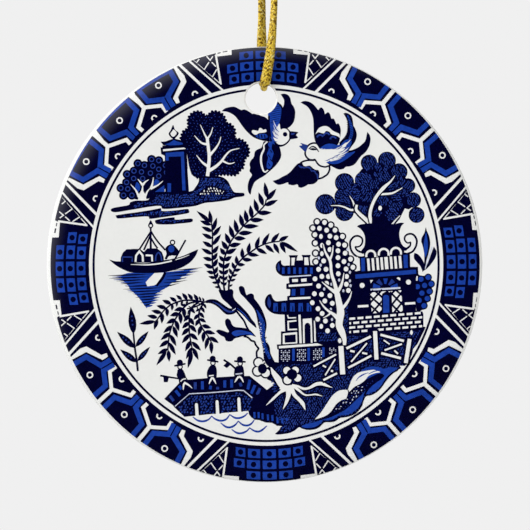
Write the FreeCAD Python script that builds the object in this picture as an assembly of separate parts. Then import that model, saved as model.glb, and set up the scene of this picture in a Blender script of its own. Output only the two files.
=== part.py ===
"""A printed porcelain disc that hangs on a loop of gold cord.

Millimetres, +Z up. The disc stands upright: its face looks along -Y and its back along +Y.
The origin is the hanging point, in the loop of cord just under its knot.
Each sub-part is written to parts/NODE.step.
"""
import FreeCAD
import Part
import math
import os

from FreeCAD import Vector

# Driving dimensions of the disc
DISC_DIAMETER = 73.0
DISC_THICKNESS = 4.0          # with the printed coat
COAT_THICKNESS = 0.1          # glossy coat that carries the picture
FACE_ROLL_WIDTH = 4.4         # how far in from the rim the face starts to roll over
FACE_ROLL_DEPTH = 1.2         # how far back the rolled edge goes
BACK_EDGE_RADIUS = 0.8

# The hole that the cord goes through
HOLE_RADIUS = 2.6
HOLE_LIP_RADIUS = 0.2         # rounding where the hole meets the front and the back
HOLE_SIDE = -0.6              # the hole stands a little left of the middle
HOLE_HEIGHT = 27.85           # above the disc's centre

# The cord and its knot
CORD_DIAMETER = 1.2
LOOP_RISE = 25.0              # from the top of the rim to the hanging point
KNOT_RADIUS = 2.1
KNOT_HEIGHT = 4.6
KNOT_EDGE_RADIUS = 1.2
KNOT_BITE = 0.5               # how far each end of cord runs into its socket in the knot
ARC_SHARE = 0.45              # part of the shorter run that each bend takes

# Worked out from them
DISC_RADIUS = DISC_DIAMETER / 2
CORD_RADIUS = CORD_DIAMETER / 2
FRONT = -DISC_THICKNESS / 2
BACK = DISC_THICKNESS / 2
COAT_BACK = FRONT + COAT_THICKNESS
ROLL_START = DISC_RADIUS - FACE_ROLL_WIDTH
ROLL_END = FRONT + FACE_ROLL_DEPTH
DISC_CENTRE = Vector(0, 0, -(LOOP_RISE + DISC_RADIUS))
KNOT_FOOT = DISC_RADIUS + LOOP_RISE      # its height above the disc's centre

# The cord's route, as (x, y, height above the disc's centre). It leaves the knot, comes down in
# front of the disc, passes back through the hole and goes up behind the disc to the knot.
STRAND_OFFSET = 2.8           # of each strand's middle from the middle of the disc
BIGHT_SIDE = -0.1             # the cord's middle where it lies in the top of the hole
BIGHT_HEIGHT = 29.6
CORD_ROUTE = [
    (0.65, -0.10, KNOT_FOOT + KNOT_BITE),
    (1.25, -0.95, 56.0),
    (1.75, -2.30, 49.0),
    (1.60, -2.85, 42.5),
    (1.20, -STRAND_OFFSET, 37.0),
    (0.50, -2.85, 32.3),
    (BIGHT_SIDE, -STRAND_OFFSET, BIGHT_HEIGHT),
    (BIGHT_SIDE, STRAND_OFFSET, BIGHT_HEIGHT),
    (-0.30, 2.85, 32.3),
    (-0.50, STRAND_OFFSET, 37.2),
    (-0.40, 2.85, 43.0),
    (-0.60, 2.20, 49.5),
    (-0.45, 0.95, 56.2),
    (-0.65, 0.10, KNOT_FOOT + KNOT_BITE),
]

# The two free ends that stand out of the top of the knot
KNOT_TOP = KNOT_FOOT + KNOT_HEIGHT
TAIL_ROUTES = [
    [(0.62, -0.20, KNOT_TOP - KNOT_BITE), (0.95, -0.45, KNOT_TOP + 2.4),
     (1.90, -0.60, KNOT_TOP + 4.9), (3.50, -0.50, KNOT_TOP + 7.4)],
    [(-0.62, 0.20, KNOT_TOP - KNOT_BITE), (-0.85, 0.50, KNOT_TOP + 2.2),
     (-1.50, 0.75, KNOT_TOP + 4.4), (-2.80, 0.70, KNOT_TOP + 6.4)],
]


def line(a, b):
    """A straight edge between two points of a profile, each (radius, y)."""
    return Part.LineSegment(Vector(*a, 0), Vector(*b, 0)).toShape()


def corner(centre, radius, start, end):
    """An arc of a profile, about (radius, y), between two angles in degrees."""
    circle = Part.Circle(Vector(*centre, 0), Vector(0, 0, 1), radius)
    return Part.ArcOfCircle(circle, math.radians(start), math.radians(end)).toShape()


def rolled_edge(width, depth):
    """The face's soft edge: a quarter of an ellipse, from the flat of the face out to the rim."""
    ellipse = Part.Ellipse(Vector(ROLL_START, ROLL_END, 0), width, depth)
    return Part.ArcOfEllipse(ellipse, 1.5 * math.pi, 2 * math.pi).toShape()


def turned(edges):
    """The solid that a closed profile makes when it turns about the disc's own axis."""
    face = Part.Face(Part.Wire(Part.__sortEdges__(edges)))
    return face.revolve(Vector(0, 0, 0), Vector(0, 1, 0), 360)


def hole_cutter():
    """The hole with its rounded lips, a little longer than the disc is thick."""
    lip = HOLE_RADIUS + HOLE_LIP_RADIUS
    past = 1.0
    front_start = COAT_BACK + HOLE_LIP_RADIUS
    back_start = BACK - HOLE_LIP_RADIUS
    profile = [
        line((0, FRONT - past), (lip, FRONT - past)),
        line((lip, FRONT - past), (lip, COAT_BACK)),
        corner((lip, front_start), HOLE_LIP_RADIUS, 180, 270),
        line((HOLE_RADIUS, front_start), (HOLE_RADIUS, back_start)),
        corner((lip, back_start), HOLE_LIP_RADIUS, 90, 180),
        line((lip, BACK), (lip, BACK + past)),
        line((lip, BACK + past), (0, BACK + past)),
        line((0, BACK + past), (0, FRONT - past)),
    ]
    cutter = turned(profile)
    cutter.translate(Vector(HOLE_SIDE, 0, HOLE_HEIGHT))
    return cutter


def porcelain_disc():
    """The fired body, with a shallow seat on its rim for the edge of the coat."""
    seat = DISC_RADIUS - COAT_THICKNESS
    back_flat = DISC_RADIUS - BACK_EDGE_RADIUS
    body = turned([
        line((0, BACK), (0, COAT_BACK)),
        line((0, COAT_BACK), (ROLL_START, COAT_BACK)),
        rolled_edge(FACE_ROLL_WIDTH - COAT_THICKNESS, FACE_ROLL_DEPTH - COAT_THICKNESS),
        line((seat, ROLL_END), (DISC_RADIUS, ROLL_END)),
        line((DISC_RADIUS, ROLL_END), (DISC_RADIUS, BACK - BACK_EDGE_RADIUS)),
        corner((back_flat, BACK - BACK_EDGE_RADIUS), BACK_EDGE_RADIUS, 0, 90),
        line((back_flat, BACK), (0, BACK)),
    ])
    body = body.cut(hole_cutter())
    body.translate(DISC_CENTRE)
    return body


def printed_face():
    """The coat on the front, of one thickness from the lip of the hole to the rim."""
    seat = DISC_RADIUS - COAT_THICKNESS
    coat = turned([
        line((0, FRONT), (ROLL_START, FRONT)),
        rolled_edge(FACE_ROLL_WIDTH, FACE_ROLL_DEPTH),
        line((DISC_RADIUS, ROLL_END), (seat, ROLL_END)),
        rolled_edge(FACE_ROLL_WIDTH - COAT_THICKNESS, FACE_ROLL_DEPTH - COAT_THICKNESS),
        line((ROLL_START, COAT_BACK), (0, COAT_BACK)),
        line((0, COAT_BACK), (0, FRONT)),
    ])
    coat = coat.cut(hole_cutter())
    coat.translate(DISC_CENTRE)
    return coat


def smooth_path(route, name):
    """Straight runs joined by tangent arcs. Each arc takes the same share of its shorter run."""
    points = [Vector(*p) + DISC_CENTRE for p in route]
    edges = []
    radii = []
    here = points[0]
    for before, at, after in zip(points, points[1:], points[2:]):
        back = before - at
        ahead = after - at
        reach = ARC_SHARE * min(back.Length, ahead.Length)
        half_turn = (math.pi - back.getAngle(ahead)) / 2
        back.normalize()
        ahead.normalize()
        bisector = (back + ahead).normalize()
        radius = reach / math.tan(half_turn)
        start = at + back * reach
        end = at + ahead * reach
        middle = at + bisector * (radius / math.cos(half_turn) - radius)
        edges.append(Part.LineSegment(here, start).toShape())
        edges.append(Part.Arc(start, middle, end).toShape())
        radii.append(radius)
        here = end
    edges.append(Part.LineSegment(here, points[-1]).toShape())
    path = Part.Wire(edges)
    print(name, "length", round(path.Length, 1), "radii", [round(r, 1) for r in radii])
    return path


def tube(route, name):
    """A round cord of the cord's diameter along a route."""
    path = smooth_path(route, name)
    start = path.Vertexes[0].Point
    direction = path.Edges[0].tangentAt(path.Edges[0].FirstParameter)
    section = Part.Wire(Part.Circle(start, direction, CORD_RADIUS).toShape())
    pipe = path.makePipeShell([section], True, False)
    expected = math.pi * CORD_RADIUS ** 2 * path.Length
    print(name, "volume", round(pipe.Volume, 2), "section times length", round(expected, 2))
    return pipe


def cord_knot(cord_and_tails):
    """The outer shape of the overhand knot, with a socket for each piece of cord that enters it."""
    bend = KNOT_EDGE_RADIUS
    inner = KNOT_RADIUS - bend
    knot = turned([
        line((0, 0), (inner, 0)),
        corner((inner, bend), bend, 270, 360),
        line((KNOT_RADIUS, bend), (KNOT_RADIUS, KNOT_HEIGHT - bend)),
        corner((inner, KNOT_HEIGHT - bend), bend, 0, 90),
        line((inner, KNOT_HEIGHT), (0, KNOT_HEIGHT)),
        line((0, KNOT_HEIGHT), (0, 0)),
    ])
    knot.rotate(Vector(0, 0, 0), Vector(1, 0, 0), 90)
    return knot.cut(cord_and_tails)


def main():
    cord = tube(CORD_ROUTE, "hanging_cord")
    tails = Part.makeCompound([tube(route, "cord_tail") for route in TAIL_ROUTES])
    shapes = {
        "porcelain_disc": porcelain_disc(),
        "printed_face": printed_face(),
        "hanging_cord": cord,
        "cord_knot": cord_knot([cord, tails]),
        "cord_tails": tails,
    }
    os.makedirs("parts", exist_ok=True)
    for name, shape in shapes.items():
        solids = len(shape.Solids)
        print(name, "valid", shape.isValid(), "solids", solids, "volume", round(shape.Volume, 2))
        shape.exportStep(f"parts/{name}.step")


main()
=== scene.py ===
import math

import bpy
import numpy as np
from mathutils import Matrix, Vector
from mathutils.geometry import delaunay_2d_cdt


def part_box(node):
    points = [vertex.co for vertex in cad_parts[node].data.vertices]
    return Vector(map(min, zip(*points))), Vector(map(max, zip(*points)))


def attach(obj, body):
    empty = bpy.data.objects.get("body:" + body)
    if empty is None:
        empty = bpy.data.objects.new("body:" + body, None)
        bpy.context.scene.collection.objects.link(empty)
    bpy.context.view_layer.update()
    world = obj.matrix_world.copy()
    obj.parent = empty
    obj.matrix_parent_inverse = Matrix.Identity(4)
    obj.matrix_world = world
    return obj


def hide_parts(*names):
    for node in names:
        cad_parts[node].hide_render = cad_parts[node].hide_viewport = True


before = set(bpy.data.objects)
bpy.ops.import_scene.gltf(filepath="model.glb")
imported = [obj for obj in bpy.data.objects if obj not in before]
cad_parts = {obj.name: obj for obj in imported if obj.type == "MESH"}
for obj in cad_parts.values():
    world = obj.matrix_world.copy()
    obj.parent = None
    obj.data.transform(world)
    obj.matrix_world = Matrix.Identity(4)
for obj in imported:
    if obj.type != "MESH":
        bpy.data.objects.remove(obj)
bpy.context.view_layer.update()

bl_info = {
    "name": "Printed porcelain ornament",
    "version": (1, 0, 0),
    "blender": (4, 5, 0),
    "location": "3D View > Sidebar > Ornament",
    "description": "A porcelain disc printed with a willow-style plate, hung on a gold braided cord",
    "category": "Object",
}

MM = 0.001
ORNAMENT = "ornament"
LOOP = "hanging_loop"

# The disc, read from the frame
DISC_LOW, DISC_HIGH = (np.array(corner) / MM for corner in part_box("porcelain_disc"))
FACE_LOW, FACE_HIGH = (np.array(corner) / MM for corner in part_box("printed_face"))
RIM = (FACE_HIGH[0] - FACE_LOW[0]) / 2
CENTRE_X = (FACE_HIGH[0] + FACE_LOW[0]) / 2
CENTRE_Z = (FACE_HIGH[2] + FACE_LOW[2]) / 2
FRONT = FACE_LOW[1]

# The face rolls over towards the rim along a quarter of an ellipse, and the hole goes through it
ROLL_WIDTH = 4.4
ROLL_DEPTH = FACE_HIGH[1] - FACE_LOW[1]
ROLL_START = RIM - ROLL_WIDTH
HOLE = (-0.6, 27.85)
HOLE_EDGE = 2.82

# The print's own ring: everything outside it is border, everything inside it is the picture
RING_LINE = 29.1
BORDER_START = 29.88
PRINT_MIDDLE = (0.1, 0.0)
PRINT_EDGE = (35.95, 36.38)


def colour_property(name, description, default):
    """A colour that a user can change."""
    return bpy.props.FloatVectorProperty(
        name=name, description=description, default=default, subtype="COLOR", size=3, min=0, max=1
    )


def length_property(name, description, default):
    """A length in metres that a user can change."""
    return bpy.props.FloatProperty(
        name=name, description=description, default=default, unit="LENGTH", precision=5, min=0
    )


class PrintSettings(bpy.types.PropertyGroup):
    """The inks and the film that they make on the face."""

    navy: colour_property("Navy", "The darkest ink", (0.0006, 0.0006, 0.0178))
    cobalt: colour_property("Cobalt", "The bright blue ink", (0.0090, 0.0415, 0.285))
    violet: colour_property("Violet", "The middle blue of the fine strokes on the navy", (0.015, 0.035,
        0.195))
    pale: colour_property("Pale", "The palest tint", (0.50, 0.53, 0.64))
    ground: colour_property("Ground", "The white coat under the inks", (0.712, 0.716, 0.700))
    film_proud: length_property("Film above the coat", "How far ink stands out of the coat", 0.000012)
    film_depth: length_property("Film in the coat", "How far ink goes into the coat", 0.00002)


class GlazeSettings(bpy.types.PropertyGroup):
    """The white glaze of the disc's back and side."""

    white: colour_property("White", "Colour of the fired glaze", (0.83, 0.825, 0.80))
    roughness: bpy.props.FloatProperty(
        name="Roughness", description="Roughness of the gloss", default=0.13, min=0, max=1, subtype="FACTOR"
    )


class CordSettings(bpy.types.PropertyGroup):
    """The flat gold braid."""

    width: length_property("Width", "Across the flat of the braid", 0.00170)
    thickness: length_property("Thickness", "Through the flat of the braid", 0.00095)
    yarn_width: length_property("Yarn width", "Width of one yarn of the braid", 0.00050)
    yarn_thickness: length_property("Yarn thickness", "Thickness of one yarn", 0.00017)
    lift: length_property("Lift", "How far a yarn rises to pass over another", 0.00007)
    pitch: length_property("Pitch", "Length of cord in which a yarn goes once round", 0.0052)
    yarns: bpy.props.IntProperty(
        name="Yarns each way", description="Yarns that turn each way round", default=8, min=3, max=16
    )
    gold: colour_property("Gold", "Colour of the metallic yarn", (0.85, 0.60, 0.060))
    # The yarn's painted light: the shade colour is painted shade for the gaps between the yarns, and the
    # glint colour is painted highlights where the foil catches a lamp.
    shade: colour_property("Shade", "Colour of the yarn's darker flecks", (0.15, 0.075, 0.003))
    glint: colour_property("Glint", "Colour of the yarn's brighter flecks", (1.0, 0.90, 0.38))


class StageSettings(bpy.types.PropertyGroup):
    """The studio, its lights and its camera."""

    backdrop: colour_property("Backdrop", "Colour behind the ornament", (0.8714, 0.8714, 0.8714))
    view_height: length_property("View height", "How much the camera sees at the disc", 0.08873)
    distance: length_property("Distance", "From the camera to the disc", 1.1)
    floor_drop: length_property("Floor drop", "From the disc's lowest point to the floor", 0.075)
    floor_radius: length_property("Floor radius", "Radius of the floor", 0.9)
    room_light: bpy.props.FloatProperty(
        name="Room light", description="Strength of the light from the room itself", default=1.0, min=0
    )
    key_power: bpy.props.FloatProperty(
        name="Key light", description="Power of the large light on the left", default=4.5, min=0, unit="POWER"
    )
    fill_power: bpy.props.FloatProperty(
        name="Fill light", description="Power of the light on the right", default=3.4, min=0, unit="POWER"
    )


# Materials

PEEL_SHARE = 0.25             # of the fine orange peel in a gloss, next to its broad waves
SPECK_SHADE = 0.55            # how bright a speck in the glaze is, next to the glaze


def give(node, inputs):
    """A node, once it has the values given for the inputs that are named."""
    for name, value in inputs.items():
        node.inputs[name.replace("_", " ")].default_value = value
    return node


def add_node(tree, kind, **inputs):
    """A node of a kind, with values for the inputs that are named."""
    return give(tree.nodes.new(kind), inputs)


def wire(tree, *links):
    """Joins sockets in a tree, each link given as (node, its output, node, its input)."""
    for source, output, target, given in links:
        tree.links.new(source.outputs[output], target.inputs[given])


def new_group(name, inputs, outputs):
    """An empty shader node group with (name, socket type, default) inputs and (name, type) outputs."""
    group = bpy.data.node_groups.new(name, "ShaderNodeTree")
    for socket_name, kind, default in inputs:
        socket = group.interface.new_socket(name=socket_name, in_out="INPUT", socket_type=kind)
        socket.default_value = default
    for socket_name, kind in outputs:
        group.interface.new_socket(name=socket_name, in_out="OUTPUT", socket_type=kind)
    return group, group.nodes.new("NodeGroupInput"), group.nodes.new("NodeGroupOutput")


def glaze_ripple_group():
    """The faint unevenness of a glossy coat: broad waves and fine orange peel, as a normal."""
    group, given, result = new_group(
        "Glaze Ripple",
        [("Wave Scale", "NodeSocketFloat", 90.0), ("Peel Scale", "NodeSocketFloat", 900.0),
         ("Strength", "NodeSocketFloat", 0.05)],
        [("Normal", "NodeSocketVector"), ("Mask", "NodeSocketFloat")],
    )
    place = group.nodes.new("ShaderNodeTexCoord")
    waves = add_node(group, "ShaderNodeTexNoise", Detail=2.0)
    peel = add_node(group, "ShaderNodeTexNoise", Detail=1.0)
    total = add_node(group, "ShaderNodeMath")
    total.operation = "MULTIPLY_ADD"
    total.inputs[1].default_value = PEEL_SHARE
    bump = add_node(group, "ShaderNodeBump", Distance=0.0002)
    wire(group,
         (place, "Object", waves, "Vector"), (place, "Object", peel, "Vector"),
         (given, "Wave Scale", waves, "Scale"), (given, "Peel Scale", peel, "Scale"),
         (peel, "Fac", total, 0), (waves, "Fac", total, 2), (total, 0, bump, "Height"),
         (given, "Strength", bump, "Strength"), (bump, "Normal", result, "Normal"),
         (waves, "Fac", result, "Mask"))
    return group


def tint_group():
    """A colour that wanders between two tints in soft clouds, with finer grain in them."""
    group, given, result = new_group(
        "Clouded Tint",
        [("Colour A", "NodeSocketColor", (1, 1, 1, 1)), ("Colour B", "NodeSocketColor", (0, 0, 0, 1)),
         ("Cloud Scale", "NodeSocketFloat", 150.0), ("Grain", "NodeSocketFloat", 1500.0)],
        [("Colour", "NodeSocketColor"), ("Mask", "NodeSocketFloat")],
    )
    place = group.nodes.new("ShaderNodeTexCoord")
    clouds = add_node(group, "ShaderNodeTexNoise", Detail=3.0)
    grain = add_node(group, "ShaderNodeTexNoise", Detail=1.0)
    both = add_node(group, "ShaderNodeMath")
    both.operation = "ADD"
    spread = add_node(group, "ShaderNodeMapRange", From_Min=0.75, From_Max=1.25)
    mix = group.nodes.new("ShaderNodeMix")
    mix.data_type = "RGBA"
    wire(group,
         (place, "Object", clouds, "Vector"), (place, "Object", grain, "Vector"),
         (given, "Cloud Scale", clouds, "Scale"), (given, "Grain", grain, "Scale"),
         (clouds, "Fac", both, 0), (grain, "Fac", both, 1), (both, 0, spread, "Value"),
         (spread, "Result", mix, 0), (given, "Colour A", mix, 6), (given, "Colour B", mix, 7),
         (mix, 2, result, "Colour"), (spread, "Result", result, "Mask"))
    return group


def shared_group(name, build):
    """The node group of a name, built the first time that it is asked for."""
    return bpy.data.node_groups.get(name) or build()


def new_material(name):
    """A material with a Principled shader, and its node tree and shader."""
    material = bpy.data.materials.new(name)
    material.use_nodes = True
    tree = material.node_tree
    return material, tree, tree.nodes["Principled BSDF"]


def place_group(tree, group, **inputs):
    """One use of a shared group in a material, with its own values."""
    node = tree.nodes.new("ShaderNodeGroup")
    node.node_tree = group
    return give(node, inputs)


def opaque(colour, factor=1.0):
    """A colour with each part multiplied by a factor, and full alpha."""
    return tuple(min(1.0, part * factor) for part in colour) + (1.0,)


def glossy_coat_material(name, colour, contrast, roughness, speckle=0.0):
    """A clouded colour under a clear gloss: used for the glaze, the white coat and every ink."""
    material, tree, shader = new_material(name)
    tint = place_group(
        tree,
        shared_group("Clouded Tint", tint_group),
        Colour_A=opaque(colour, 1 - contrast),
        Colour_B=opaque(colour, 1 + contrast),
    )
    source, output = tint, "Colour"
    ripple = place_group(tree, shared_group("Glaze Ripple", glaze_ripple_group))
    if speckle:
        place = tree.nodes.new("ShaderNodeTexCoord")
        specks = add_node(tree, "ShaderNodeTexVoronoi", Scale=260.0)
        small = add_node(tree, "ShaderNodeMapRange", From_Min=0.05, From_Max=0.09, To_Min=1.0, To_Max=0.0)
        some = add_node(tree, "ShaderNodeMath")
        some.operation = "MULTIPLY"
        some.inputs[1].default_value = speckle
        darker = tree.nodes.new("ShaderNodeMix")
        darker.data_type = "RGBA"
        darker.inputs[7].default_value = opaque(colour, SPECK_SHADE)
        wire(tree,
             (place, "Object", specks, "Vector"), (specks, "Distance", small, "Value"),
             (small, "Result", some, 0), (some, 0, darker, 0), (source, output, darker, 6))
        source, output = darker, 2
    gloss = add_node(tree, "ShaderNodeMapRange", To_Min=roughness * 0.85, To_Max=roughness * 1.2)
    wire(tree,
         (source, output, shader, "Base Color"), (ripple, "Mask", gloss, "Value"),
         (gloss, "Result", shader, "Roughness"), (ripple, "Normal", shader, "Normal"))
    shader.inputs["IOR"].default_value = 1.5
    shader.inputs["Coat Weight"].default_value = 0.35
    shader.inputs["Coat Roughness"].default_value = 0.06
    return material


def gold_yarn_material(settings):
    """Metallic foil yarn: facets a quarter of a millimetre long, coloured from painted shade through gold to
    painted highlights, and soft wear.
    """
    material, tree, shader = new_material("Gold foil yarn")
    place = tree.nodes.new("ShaderNodeTexCoord")
    facets = add_node(tree, "ShaderNodeTexVoronoi", Scale=4000.0)
    pick = tree.nodes.new("ShaderNodeSeparateColor")
    # Painted light: each facet's colour runs from painted shade, as in the gaps between yarns, through gold,
    # to painted highlights, as where the foil catches a lamp.
    ramp = tree.nodes.new("ShaderNodeValToRGB")
    stops = ramp.color_ramp.elements
    stops[0].position = 0.0
    stops[0].color = opaque(settings.shade)
    stops[1].position = 1.0
    stops[1].color = opaque(settings.glint)
    for position, colour in ((0.20, opaque(settings.shade, 1.6)), (0.36, opaque(settings.gold, 0.85)),
                             (0.82, opaque(settings.gold, 1.1))):
        stops.new(position).color = colour
    fibres = add_node(tree, "ShaderNodeTexNoise", Scale=5200.0, Detail=2.0)
    bump = add_node(tree, "ShaderNodeBump", Strength=0.5, Distance=0.00006)
    rough = add_node(tree, "ShaderNodeMapRange", To_Min=0.28, To_Max=0.5)
    wire(tree,
         (place, "Object", facets, "Vector"), (place, "Object", fibres, "Vector"),
         (facets, "Color", pick, "Color"), (pick, 0, ramp, "Fac"), (pick, 1, rough, "Value"),
         (ramp, "Color", shader, "Base Color"), (rough, "Result", shader, "Roughness"),
         (fibres, "Fac", bump, "Height"), (bump, "Normal", shader, "Normal"))
    shader.inputs["Metallic"].default_value = 0.55
    return material


# Paths and meshes


def unit_rows(rows):
    """Each row divided by its length."""
    return rows / np.maximum(np.linalg.norm(rows, axis=1), 1e-9)[:, None]


def reach_along(path):
    """How far along a path each of its points is."""
    return np.concatenate([[0], np.cumsum(np.linalg.norm(np.diff(path, axis=0), axis=1))])


def spread_over(count, values):
    """Values given at even steps, read at count even steps."""
    return np.interp(np.linspace(0, 1, count), np.linspace(0, 1, len(values)), values)


def mesh_piece(name, points, faces, material):
    """A smooth mesh object at the origin, with one material."""
    mesh = bpy.data.meshes.new(name)
    mesh.from_pydata(points, [], faces)
    mesh.polygons.foreach_set("use_smooth", np.ones(len(mesh.polygons), bool))
    mesh.materials.append(material)
    piece = bpy.data.objects.new(name, mesh)
    bpy.context.collection.objects.link(piece)
    return piece


# The print: marks drawn one over another in plate millimetres, to the right and up from the
# disc's centre, then cut into films of one ink each

BARE = "bare"
INK_SPREAD = 0.09             # how much wider than it is drawn a navy line comes out
CURVE_STEPS = 4               # straight pieces in a curve between two of its points
LEAF_STEPS = 7                # points along a leaf's side
TOOTH = [0.0, 0.75, 1.0, 0.75]               # a scallop's height at even steps
ROW_HEIGHT = 0.87             # between the rows of a triangular grid, in spacings
SHAKE = 0.25                  # how far a spot may sit off its place, in spacings
SPOT_SIZES = (0.7, 1.15)
ROLL_RINGS = 12               # circles that cut the marks where the face rolls over


def arc(centre, radius, start=0.0, end=360.0, steps=None):
    """Points on a circle, or on an ellipse of two radii: centre + radius * (cos a, sin a)."""
    wide, high = radius if isinstance(radius, tuple) else (radius, radius)
    whole = abs(end - start) >= 360
    steps = steps or max(6, int(abs(end - start) / 360 * (10 + 9 * max(wide, high))))
    angle = np.radians(np.linspace(start, end, steps + 1)[: steps if whole else steps + 1])
    return np.column_stack([centre[0] + wide * np.cos(angle), centre[1] + high * np.sin(angle)])


def curve(points, closed=False):
    """A Catmull-Rom curve through points: each piece is the cubic that leaves its two ends
    parallel to the line between their neighbours."""
    p = np.asarray(points, float)
    if len(p) < 3:
        return p
    if closed:
        p = np.vstack([p[-1], p, p[:2]])
    else:
        p = np.vstack([2 * p[0] - p[1], p, 2 * p[-1] - p[-2]])
    t = (np.arange(CURVE_STEPS) / CURVE_STEPS)[None, :, None]
    a, b, c, d = (p[i: len(p) - 3 + i, None, :] for i in range(4))
    made = 0.5 * (2 * b + (c - a) * t + (2 * a - 5 * b + 4 * c - d) * t**2 + (3 * b - a - 3 * c + d) * t**3)
    made = made.reshape(-1, 2)
    return made if closed else np.vstack([made, p[-2]])


def at(*numbers):
    """Points from their numbers, two by two: to the right, then up."""
    return np.array(numbers, float).reshape(-1, 2)


def shape(*spans):
    """An outline of smooth spans that meet at corners: each span starts where the last ended."""
    parts = [curve(spans[0])]
    for span in spans[1:]:
        parts.append(curve([tuple(parts[-1][-1]), *span])[1:])
    return np.vstack(parts)


def turned(points, degrees, about=(0.0, 0.0), scale=(1.0, 1.0), move=(0.0, 0.0)):
    """Points stretched, then turned about a point, then moved."""
    angle = math.radians(degrees)
    turn = np.array([[math.cos(angle), -math.sin(angle)], [math.sin(angle), math.cos(angle)]])
    return ((np.asarray(points, float) - about) * scale) @ turn.T + about + np.asarray(move)


def inside(outline, points):
    """Which points an outline holds, by counting how often a ray to the right crosses it."""
    x, y = points[:, 0, None], points[:, 1, None]
    x0, y0 = outline[:, 0], outline[:, 1]
    x1, y1 = np.roll(x0, -1), np.roll(y0, -1)
    spans = (y0 > y) != (y1 > y)
    with np.errstate(divide="ignore", invalid="ignore"):
        cross = x0 + (y - y0) * (x1 - x0) / (y1 - y0)
    return np.count_nonzero(spans & (x < cross), axis=1) % 2 == 1


def signed_area(outline):
    """Twice the area of an outline, positive when it runs anticlockwise."""
    x, y = outline[:, 0], outline[:, 1]
    return np.sum(x * np.roll(y, -1) - y * np.roll(x, -1))


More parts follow.
